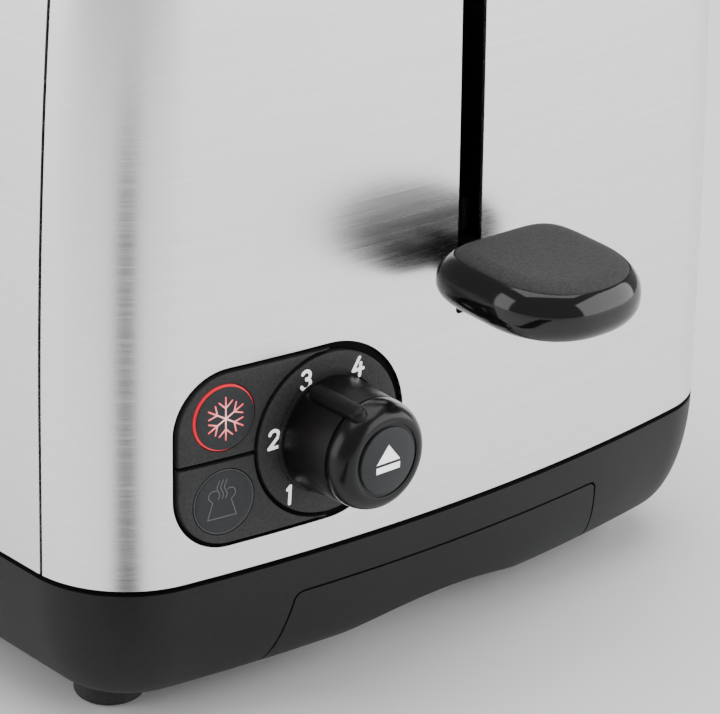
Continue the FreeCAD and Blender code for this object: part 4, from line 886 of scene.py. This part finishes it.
def base_rim():
    """The upstand that the steel shells drop over; its near-black colour is painted shade, the dark line in the
    gap between steel and base.
    """
    profile = [(RIM_INSET, BASE_TOP - RIM_HEIGHT), (RIM_INSET, BASE_TOP + RIM_HEIGHT),
               (RIM_INSET + RIM_WALL, BASE_TOP + RIM_HEIGHT), (RIM_INSET + RIM_WALL, BASE_TOP - RIM_HEIGHT)]
    rings = [plan_ring(z, inset, lean=False) for inset, z in profile]
    obj = loft("base_rim", rings, loop_rings=True)
    soft_shading(obj)
    finish_piece(obj, "housing", FRAME_BLACK_AND_SEAM_SHADE, ())


def tray_handle():
    handle = base_solid("tray_handle_shell")
    y0 = FRONT_Y - BASE_CUT_REACH
    cut_away(handle, prism("handle_shape", dense(handle_loop(0.0), 2.0), y0, TRAY_FRONT), "INTERSECT")
    cut_away(handle, prism("arch_cutter", arch_loop(), y0 - 1.0, TRAY_FRONT + 1.0))
    soften(handle, 0.45, segments=3)
    finish_piece(handle, "crumb_tray", BASE_PLASTIC, ["crumb_tray_handle"])


FOOT_RADIUS = 7.5
FOOT_ROUND = 1.5
FOOT_X = 68.4
FOOT_FROM_END = 32.5
FOOT_DIMPLE = [(0.0, 1.2), (3.4, 1.2), (3.9, 0.9), (4.2, 0.2), (4.5, 0.0)]
FOOT_NECK = 0.5
NECK_HIGH = 0.9


def feet():
    ends = (FRONT_Y + FOOT_FROM_END, REAR_Y - FOOT_FROM_END)
    for i, (x, y) in enumerate([(x, y) for x in (-FOOT_X, FOOT_X) for y in ends]):
        round_edge = [(FOOT_RADIUS - FOOT_ROUND + FOOT_ROUND * math.sin(a),
                       FOOT_ROUND - FOOT_ROUND * math.cos(a)) for a in spaced(0.0, math.pi / 2.0, 8)]
        neck = FOOT_RADIUS - FOOT_NECK
        side = [(FOOT_RADIUS, FOOT_ROUND), (FOOT_RADIUS, BASE_LOW - NECK_HIGH - FOOT_NECK)]
        top = [(neck, BASE_LOW - NECK_HIGH), (neck, BASE_LOW), (0.0, BASE_LOW)]
        profile = FOOT_DIMPLE + round_edge + side + top
        foot = revolve("foot_%d" % (i + 1), profile, (x, y, 0.0), axis="Z", steps=72)
        soft_shading(foot, 50.0)
        finish_piece(foot, "housing", FOOT_RUBBER, ["rubber_feet"] if i == 0 else ())


# ---- control plates and marks
PLATE_GROOVE = 0.9
PLATE_PROUD = 0.45
PLATE_EDGE = 0.18
PLATE_DEPTH = 1.45
BUTTON_RADIUS = 6.6
LIGHT_RING_WALL = 0.35
BUTTON_GAP = 0.15
BUTTON_HOLE = BUTTON_RADIUS + LIGHT_RING_WALL + BUTTON_GAP
BUTTON_CAP = 0.25
SLEEVE_PROUD = 0.4
SLEEVE_DEPTH = 2.8
SLEEVE_BORE = 5.8
SLEEVE_EDGE = 0.06
NECK_EDGE = 0.02
HAIR = 0.01
DEFROST_PROUD = 0.95
REHEAT_PROUD = 0.5
TOAST_SHIFT = -0.5


def button_centre(name):
    low, high = cad_box(name + "_light_ring")
    z = (low.z + high.z) / 2.0
    return (low.x + high.x) / 2.0, z


def button_plate(name, upper):
    """Half of the control plate, between the outline, the middle groove and the ring's groove."""
    half = BEZEL_HALF - BEZEL_GAP
    radius = BEZEL_CORNER - BEZEL_GAP
    left = -BEZEL_LEFT + BEZEL_GAP
    edge = DIAL_Z + PLATE_GROOVE / 2.0
    ring = RING_RADIUS + PLATE_GROOVE
    start = math.degrees(math.asin(PLATE_GROOVE / 2.0 / ring))
    end = math.degrees(math.asin(half / ring))
    cx = left + radius
    loop = [(left, edge)]
    loop += arc_points(DIAL_X, DIAL_Z, ring, 180 - start, 180 - end, 40)
    loop += arc_points(cx, DIAL_Z + half - radius, radius, 90, 180, 14)
    if not upper:
        loop = [(x, 2.0 * DIAL_Z - z) for x, z in loop]
    hole = circle_loop(*button_centre(name), BUTTON_HOLE)
    plate = front_plate(name + "_plate", [loop, hole], -PLATE_PROUD, PLATE_DEPTH, PLATE_EDGE)
    finish_piece(plate, "housing", CONTROL_PLASTIC, [name + "_button_plate"])


KNOB_RADIUS = 12.3
KNOB_SEAT_RADIUS = KNOB_RADIUS + 0.3
KNOB_SEAT_BACK = 1.8
KNOB_SEAT_SHEET = 1.4
KNOB_SEAT_BORE = 6.6


def number_ring():
    loops = [circle_loop(DIAL_X, DIAL_Z, RING_RADIUS, 160),
             circle_loop(DIAL_X, DIAL_Z, KNOB_SEAT_RADIUS, 120)]
    ring = front_plate("dial_number_ring", loops, -PLATE_PROUD, PLATE_DEPTH, PLATE_EDGE, gap=1.6)
    finish_piece(ring, "housing", CONTROL_PLASTIC, ["number_ring"])
    centre = (DIAL_X, FRONT_Y, DIAL_Z)
    front, back = -KNOB_SEAT_BACK, -KNOB_SEAT_BACK - KNOB_SEAT_SHEET
    profile = [(KNOB_SEAT_BORE, front), (KNOB_SEAT_RADIUS, front),
               (KNOB_SEAT_RADIUS, back), (KNOB_SEAT_BORE, back)]
    seat = revolve("dial_seat", profile, centre)
    soft_shading(seat)
    finish_piece(seat, "housing", CONTROL_PLASTIC, ())


def digit_strokes(digit):
    """Pen strokes of a rounded, slightly slanted figure about 4 mm tall, centred on the origin."""
    lean = 0.05
    if digit == 1:
        lines = [[(-0.55, 1.25), (0.1, 1.9), (0.1, -1.9)]]
    elif digit == 2:
        lines = [arc_points(0.0, 0.85, 1.05, 165, -35, 14) + [(-1.1, -1.85), (1.25, -1.75)]]
    elif digit == 3:
        lines = [arc_points(-0.05, 0.95, 0.95, 155, -80, 14),
                 arc_points(-0.05, -0.85, 1.1, 85, -155, 16)]
    elif digit == 4:
        lines = [[(0.2, 1.95), (-1.25, -0.65), (1.3, -0.55)], [(0.6, 0.7), (0.45, -1.95)]]
    elif digit == 5:
        lines = [[(1.0, 1.85), (-0.65, 1.85), (-0.8, 0.25)] + arc_points(-0.05, -0.75, 1.1, 130, -150, 16)]
    else:
        lines = [arc_points(1.6, -0.7, 2.75, 105, 178, 12), arc_points(0.0, -0.8, 1.1, 180, -180, 24)]
    return [[(x + lean * z, z) for x, z in line] for line in lines]


NUMBER_RADIUS = 15.1
NUMBER_SQUEEZE = 0.94
NUMBER_SHIFT = (0.4, -0.8)
NUMBER_STROKE = 0.72
NUMBER_ANGLES = (-134.5, -80.5, -26.5, 27.5, 81.5, 135.5)


def numerals():
    for digit, angle in enumerate(NUMBER_ANGLES, start=1):
        a = math.radians(angle)
        x = DIAL_X + NUMBER_SHIFT[0] + NUMBER_RADIUS * NUMBER_SQUEEZE * math.sin(a)
        centre = (x, DIAL_Z + NUMBER_SHIFT[1] + NUMBER_RADIUS * math.cos(a))
        shapes = [s for line in digit_strokes(digit) for s in stroke(line, NUMBER_STROKE)]
        obj = mark("numeral_%d" % digit, shapes, centre, PLATE_PROUD)
        finish_piece(obj, "housing", GLOWING_WHITE_INK, ())


def snowflake_shapes():
    shapes = []
    for k in range(6):
        a = math.radians(90 + 60 * k)
        c, s = math.cos(a), math.sin(a)

        def turned(x, z):
            return (x * c - z * s, x * s + z * c)

        shapes += stroke([turned(0.0, 0.0), turned(4.5, 0.0)], 0.32)
        for side in (-1.5, 1.5):
            shapes += stroke([turned(2.2, 0.0), turned(3.6, side)], 0.3)
    return shapes


def toast_shapes():
    """A slice of bread in outline with three wisps of steam."""
    shapes = []
    width = 0.19
    right = arc_points(1.95, 1.75, 1.15, 125, -65, 12) + [(2.15, 0.3), (3.3, -3.2)]
    shapes += stroke(right, width) + stroke([(-x, z) for x, z in right], width)
    shapes += stroke([(-3.3, -3.2), (3.3, -3.2)], width)
    for x in (-0.85, 0.0, 0.85):
        wisp = [(x + 0.3 * math.sin(1.9 * t), 0.9 + t) for t in spaced(0.0, 4.2, 16)]
        shapes += stroke(wisp, width)
    return shapes


def push_button(name, proud, mat):
    cx, cz = button_centre(name)
    cap = front_plate(name + "_cap", [circle_loop(cx, cz, BUTTON_RADIUS)], -proud, BUTTON_CAP, 0.1, gap=1.2)
    finish_piece(cap, name + "_button", BUTTON_PLASTIC, [name + "_button"])
    rim = BUTTON_RADIUS + LIGHT_RING_WALL
    loops = [circle_loop(cx, cz, rim), circle_loop(cx, cz, BUTTON_RADIUS + HAIR)]
    ring = front_plate(name + "_light_sleeve", loops, -SLEEVE_PROUD, SLEEVE_DEPTH, SLEEVE_EDGE, gap=3.0)
    finish_piece(ring, name + "_button", mat, [name + "_light_ring"])
    loops = [circle_loop(cx, cz, BUTTON_RADIUS), circle_loop(cx, cz, SLEEVE_BORE)]
    back = BUTTON_CAP + HAIR - proud
    neck = front_plate(name + "_light_neck", loops, back, SLEEVE_DEPTH, NECK_EDGE, gap=3.0)
    finish_piece(neck, name + "_button", mat, ())


def buttons():
    cx, cz = button_centre("defrost")
    red_core, red_edge = (1.0, 0.62, 0.60, 1.0), (0.86, 0.06, 0.09, 1.0)
    centre = (cx, front_surface(cx, cz), cz)
    lit = lit_window("lit_snowflake", centre, 4.2, red_core, red_edge, 0.9)
    ring_core, ring_edge = (0.72, 0.012, 0.03, 1.0), (0.62, 0.01, 0.03, 1.0)
    lit_ring = lit_window("lit_ring", centre, 12.0, ring_core, ring_edge, 0.55)
    push_button("defrost", DEFROST_PROUD, lit_ring)
    push_button("reheat", REHEAT_PROUD, CLEAR_GUIDE)
    flake = mark("snowflake", snowflake_shapes(), (cx, cz), DEFROST_PROUD)
    finish_piece(flake, "defrost_button", lit, ())
    cx, cz = button_centre("reheat")
    toast = mark("toast_outline", toast_shapes(), (cx + TOAST_SHIFT, cz), REHEAT_PROUD)
    finish_piece(toast, "reheat_button", GREY_INK, ())


# ---- dial
KNOB_LENGTH = 16.0
KNOB_BACK = 1.3
KNOB_BARREL = 10.5
KNOB_RIM_RADIUS = 11.6
KNOB_FACE_RADIUS = 8.4
CANCEL_RADIUS = 7.1
CANCEL_GAP = 0.7
CANCEL_PROUD = 0.3
CANCEL_CAP = 3.0
EJECT_HALF = 3.1


def dial():
    centre = (DIAL_X, FRONT_Y, DIAL_Z)
    bore = CANCEL_RADIUS + CANCEL_GAP
    seam = KNOB_BARREL
    barrel = [(bore, -KNOB_BACK), (KNOB_RADIUS - 0.4, -KNOB_BACK), (KNOB_RADIUS - 0.1, -KNOB_BACK + 0.1),
              (KNOB_RADIUS, -KNOB_BACK + 0.4), (KNOB_RIM_RADIUS, seam - 0.5),
              (KNOB_RIM_RADIUS - 0.1, seam - 0.2),
              (KNOB_RIM_RADIUS - 0.45, seam - 0.1), (bore, seam - 0.1)]
    obj = revolve("dial_barrel", barrel, centre)
    soft_shading(obj)
    finish_piece(obj, "browning_dial", DIAL_PLASTIC, ["dial_knob"])
    rim = [(bore, seam), (KNOB_RIM_RADIUS - 0.45, seam), (KNOB_RIM_RADIUS - 0.12, seam + 0.1),
           (KNOB_RIM_RADIUS, seam + 0.4)]
    wide, tall = KNOB_RIM_RADIUS - KNOB_FACE_RADIUS, KNOB_LENGTH - seam - 0.6
    for i in range(1, 25):
        a = math.pi / 2.0 * i / 24
        rim.append((KNOB_FACE_RADIUS + wide * math.cos(a), seam + 0.6 + tall * math.sin(a)))
    rim += [(bore + 0.3, KNOB_LENGTH), (bore + 0.08, KNOB_LENGTH - 0.08), (bore, KNOB_LENGTH - 0.3)]
    obj = revolve("dial_front_ring", rim, centre)
    soft_shading(obj)
    finish_piece(obj, "browning_dial", DIAL_GLOSS, ["dial_rim"])


POINTER_ANGLE = -27.5
POINTER_HALF = 1.85
POINTER_START = 0.8
POINTER_END = KNOB_BARREL + 4.1
POINTER_RISE = 1.5
POINTER_FALL = 0.8
POINTER_SKIRT = 0.4
POINTER_ROOT = 2.0
POINTER_CROWN = 0.42


def pointer():
    """The rib along the barrel, round at its front end, its top crowned."""
    rings = []
    lengths = 26
    for i in range(lengths + 1):
        t = i / lengths
        out = POINTER_START + (POINTER_END - POINTER_START) * t
        end = max(0.0, (out - POINTER_END + POINTER_HALF) / POINTER_HALF)
        half = POINTER_HALF * math.sqrt(max(0.02, 1.0 - end * end))
        rise = (POINTER_RISE - POINTER_FALL * t) * math.sqrt(max(0.05, 1.0 - end ** 2.4))
        ring = []
        for k in range(13):
            a = math.pi * k / 12
            crown = (rise + POINTER_SKIRT) * math.sin(a) ** POINTER_CROWN
            ring.append(Vector((-half * math.cos(a), -out, KNOB_RADIUS - POINTER_SKIRT + crown)))
        ring.append(Vector((half, -out, KNOB_RADIUS - POINTER_ROOT)))
        ring.append(Vector((-half, -out, KNOB_RADIUS - POINTER_ROOT)))
        rings.append(ring)
    obj = loft("dial_pointer_rib", rings)
    turn = Matrix.Rotation(math.radians(POINTER_ANGLE), 4, "Y")
    obj.data.transform(turn)
    obj.data.transform(Matrix.Translation(Vector((DIAL_X, FRONT_Y, DIAL_Z)) * MM))
    soft_shading(obj)
    finish_piece(obj, "browning_dial", DIAL_PLASTIC, ["dial_pointer"])


def cancel_button():
    centre = (DIAL_X, FRONT_Y, DIAL_Z)
    face = KNOB_LENGTH + CANCEL_PROUD
    back = face - CANCEL_CAP
    profile = [(0.0, back), (CANCEL_RADIUS, back), (CANCEL_RADIUS, face - 0.35),
               (CANCEL_RADIUS - 0.1, face - 0.1), (CANCEL_RADIUS - 0.35, face), (0.0, face)]
    obj = revolve("eject_cap", profile, centre)
    soft_shading(obj)
    finish_piece(obj, "cancel_button", BUTTON_PLASTIC, ["cancel_button"])
    half = EJECT_HALF
    arrow = [(-half, -0.25), (half, -0.25), (0.0, 3.5)]
    bar = [(-half, -2.2), (half, -2.2), (half, -0.85), (-half, -0.85)]
    flat = flat_mark("eject_symbol", [arrow, bar], (DIAL_X, FRONT_Y - face - INK_THICK, DIAL_Z))
    finish_piece(flat, "cancel_button", GLOWING_WHITE_INK, ())


def flat_mark(name, shapes, centre):
    """Printed shapes on a flat face that looks along -Y."""
    points, faces = [], []
    for shape in shapes:
        faces.append(tuple(range(len(points), len(points) + len(shape))))
        points += [(centre[0] + x, centre[1], centre[2] + z) for x, z in shape]
    obj = object_from(name, points, faces)
    face_front(obj)
    solidify(obj, INK_THICK, offset=-1.0)
    soft_shading(obj)
    return obj


# ---- lever
LEVER_HALF_WIDTH = 17.9
LEVER_OFF_PANEL = 3.5
LEVER_LENGTH = 36.5
LEVER_THICK = 12.1
LEVER_TOP = 98.1
LEVER_TOP_ROUND = LEVER_THICK * 0.55
LEVER_LOW_ROUND = LEVER_THICK * 0.40
LEVER_FRONT_SQUARENESS = 2.3
LEVER_BACK_SQUARENESS = 5.0
LEVER_TILT = 3.3
LEVER_MIDDLE_Y = FRONT_Y - LEVER_OFF_PANEL - LEVER_LENGTH / 2.0
LEVER_MIDDLE = Vector((0.0, LEVER_MIDDLE_Y, LEVER_TOP - LEVER_THICK / 2.0))
INLAY_MARGIN = 2.7
INLAY_GAP = 0.15
INLAY_LIP = 0.15
PAD_INSETS = (3.0, 3.5, 4.0, 4.6, 5.2, 5.9, 6.7, 8.5, 11.0)


def lever_ring(inset, z, steps=128):
    """A ring round the lever, moved inwards: square at the back and round at the hand's end."""
    half_x, half_y = LEVER_HALF_WIDTH - inset, LEVER_LENGTH / 2.0 - inset
    ring = []
    for i in range(steps):
        a = 2.0 * math.pi * i / steps
        c, s = math.cos(a), math.sin(a)
        power = LEVER_BACK_SQUARENESS if s > 0 else LEVER_FRONT_SQUARENESS
        reach = (abs(c / half_x) ** power + abs(s / half_y) ** power) ** (-1.0 / power)
        ring.append(LEVER_MIDDLE + Vector((reach * c, reach * s, z)))
    return ring


def lever_top(inset):
    """The height of the lever's domed top where its plan is moved inwards."""
    share = 1.0 - min(1.0, inset / LEVER_TOP_ROUND)
    return LEVER_THICK / 2.0 - LEVER_TOP_ROUND * (1.0 - math.sqrt(1.0 - share * share))


def tip(obj):
    """Tips a lever piece down towards the hand."""
    centre = LEVER_MIDDLE * MM
    turn = Matrix.Rotation(math.radians(LEVER_TILT), 4, "X")
    obj.data.transform(Matrix.Translation(centre) @ turn @ Matrix.Translation(-centre))


def lever():
    half = LEVER_THICK / 2.0
    rings = []
    for a in spaced(0.0, math.pi / 2.0, 14):
        inset = LEVER_LOW_ROUND * (1 - math.sin(a))
        rings.append(lever_ring(inset, -half + LEVER_LOW_ROUND * (1 - math.cos(a))))
    edge = INLAY_MARGIN - INLAY_GAP
    full = math.acos(1.0 - (edge - INLAY_LIP) / LEVER_TOP_ROUND)
    for a in spaced(0.0, full, 14) + [full]:
        inset = LEVER_TOP_ROUND * (1 - math.cos(a))
        rings.append(lever_ring(inset, lever_top(inset)))
    brink = lever_top(edge)
    rings += [lever_ring(edge - 0.03, brink - 0.06), lever_ring(edge, brink - 0.2),
              lever_ring(edge, brink - 1.2)]
    obj = loft("lever_paddle", rings)
    tip(obj)
    soft_shading(obj, 50.0)
    finish_piece(obj, "carriage", GLOSS_BLACK, ["lever_handle"])
    rings = [lever_ring(INLAY_MARGIN, brink - 1.1), lever_ring(INLAY_MARGIN, lever_top(INLAY_MARGIN) - 0.3)]
    rings += [lever_ring(INLAY_MARGIN + 0.06, lever_top(INLAY_MARGIN) - 0.1)]
    for inset in PAD_INSETS:
        rings.append(lever_ring(inset, lever_top(inset) - 0.02))
    pad = loft("lever_pad", rings)
    tip(pad)
    soft_shading(pad, 50.0)
    finish_piece(pad, "carriage", SOFT_TOUCH, ["lever_inlay"])


# ---- studio
FLOOR_HALF = 3000.0
FLAG_CORNER = Vector((-75.0, FRONT_Y + 18.0, 1.0))
FLAG_NEAR, FLAG_NEAR_HALF = 45.0, 13.0
FLAG_FAR, FLAG_FAR_HALF = 560.0, 95.0
BACKDROP = (0.86, 0.88, 0.9, 1.0)
BACKDROP_STRENGTH = 0.5
# Each light's name, place and size in metres, and power in watts; all aim at the toaster's middle.
LIGHTS = (("front_light", (1.0, -1.15, 0.5), (2.1, 1.5), 36.0),
          ("side_light", (-1.2, 0.85, 0.5), (1.8, 1.3), 23.0),
          ("top_light", (0.1, 0.1, 1.6), (1.8, 1.8), 30.0))
LIGHT_AIM = (0.0, -0.05, 0.09)


def studio():
    floor_mat, tree, shader = new_material("pale_floor", Roughness=0.6)
    colour = tinted(tree, stretched_noise(tree, (2.0, 2.0, 2.0)), grey(0.84), grey(0.86))
    paint(tree, shader, colour)
    h = FLOOR_HALF
    floor = object_from("studio_floor", [(-h, -h, 0), (h, -h, 0), (h, h, 0), (-h, h, 0)], [(0, 1, 2, 3)])
    floor.data.materials.append(floor_mat)
    world = bpy.data.worlds.new("studio_world")
    world.use_nodes = True
    world.node_tree.nodes["Background"].inputs["Color"].default_value = BACKDROP
    world.node_tree.nodes["Background"].inputs["Strength"].default_value = BACKDROP_STRENGTH
    bpy.context.scene.world = world
    for light in LIGHTS:
        soft_box(*light)
    reflection_flag()


def reflection_flag():
    """A dark strip on the floor that only reflections see: the dark band in the panel's corner."""
    flag_mat, _, _ = new_material("flag_black", Base_Color=grey(0.01), Roughness=1.0)
    towards = Vector(CAMERA_PLACE) - FLAG_CORNER
    out = Vector((towards.x, towards.y, 0.0)).normalized()
    side = Vector((-out.y, out.x, 0.0))
    near, far = FLAG_CORNER + out * FLAG_NEAR, FLAG_CORNER + out * FLAG_FAR
    strip = [near - side * FLAG_NEAR_HALF, near + side * FLAG_NEAR_HALF,
             far + side * FLAG_FAR_HALF, far - side * FLAG_FAR_HALF]
    flag = object_from("reflection_flag", strip, [(0, 1, 2, 3)])
    flag.data.materials.append(flag_mat)
    flag.visible_camera = flag.visible_diffuse = flag.visible_shadow = False


def soft_box(name, place, size, power):
    light = bpy.data.lights.new(name, "AREA")
    light.shape = "RECTANGLE"
    light.size, light.size_y = size
    light.energy = power
    obj = bpy.data.objects.new(name, light)
    bpy.context.scene.collection.objects.link(obj)
    obj.location = place
    aim = Vector(LIGHT_AIM) - Vector(place)
    obj.rotation_euler = aim.to_track_quat("-Z", "Y").to_euler()


CAMERA_PLACE = (-441.6, FRONT_Y - 452.9, 335.6)
CAMERA_YAW = 42.26
CAMERA_PITCH = 22.95
CAMERA_ROLL = 1.68
CAMERA_LENS = 165.96


def camera():
    """A long lens from the left of the controls and above, looking down."""
    yaw, pitch, roll = (math.radians(a) for a in (CAMERA_YAW, CAMERA_PITCH, CAMERA_ROLL))
    look = Vector((math.sin(yaw) * math.cos(pitch), math.cos(yaw) * math.cos(pitch), -math.sin(pitch)))
    right = Vector((math.cos(yaw), -math.sin(yaw), 0.0))
    up = right.cross(look)
    side = right * math.cos(roll) + up * math.sin(roll)
    top = up * math.cos(roll) - right * math.sin(roll)
    data = bpy.data.cameras.new("camera")
    data.lens = CAMERA_LENS
    data.sensor_width = 36.0
    data.clip_start = 0.01
    obj = bpy.data.objects.new("camera", data)
    bpy.context.scene.collection.objects.link(obj)
    turn = Matrix((side, top, -look)).transposed().to_4x4()
    obj.matrix_world = Matrix.Translation(Vector(CAMERA_PLACE) * MM) @ turn
    bpy.context.scene.camera = obj


# ---- build
dress_frame()
front_panel()
rear_panel()
cover()
slot_collar("left")
slot_collar("right")
base()
base_rim()
tray_handle()
feet()
button_plate("defrost", True)
button_plate("reheat", False)
number_ring()
numerals()
buttons()
dial()
pointer()
cancel_button()
lever()
studio()
camera()
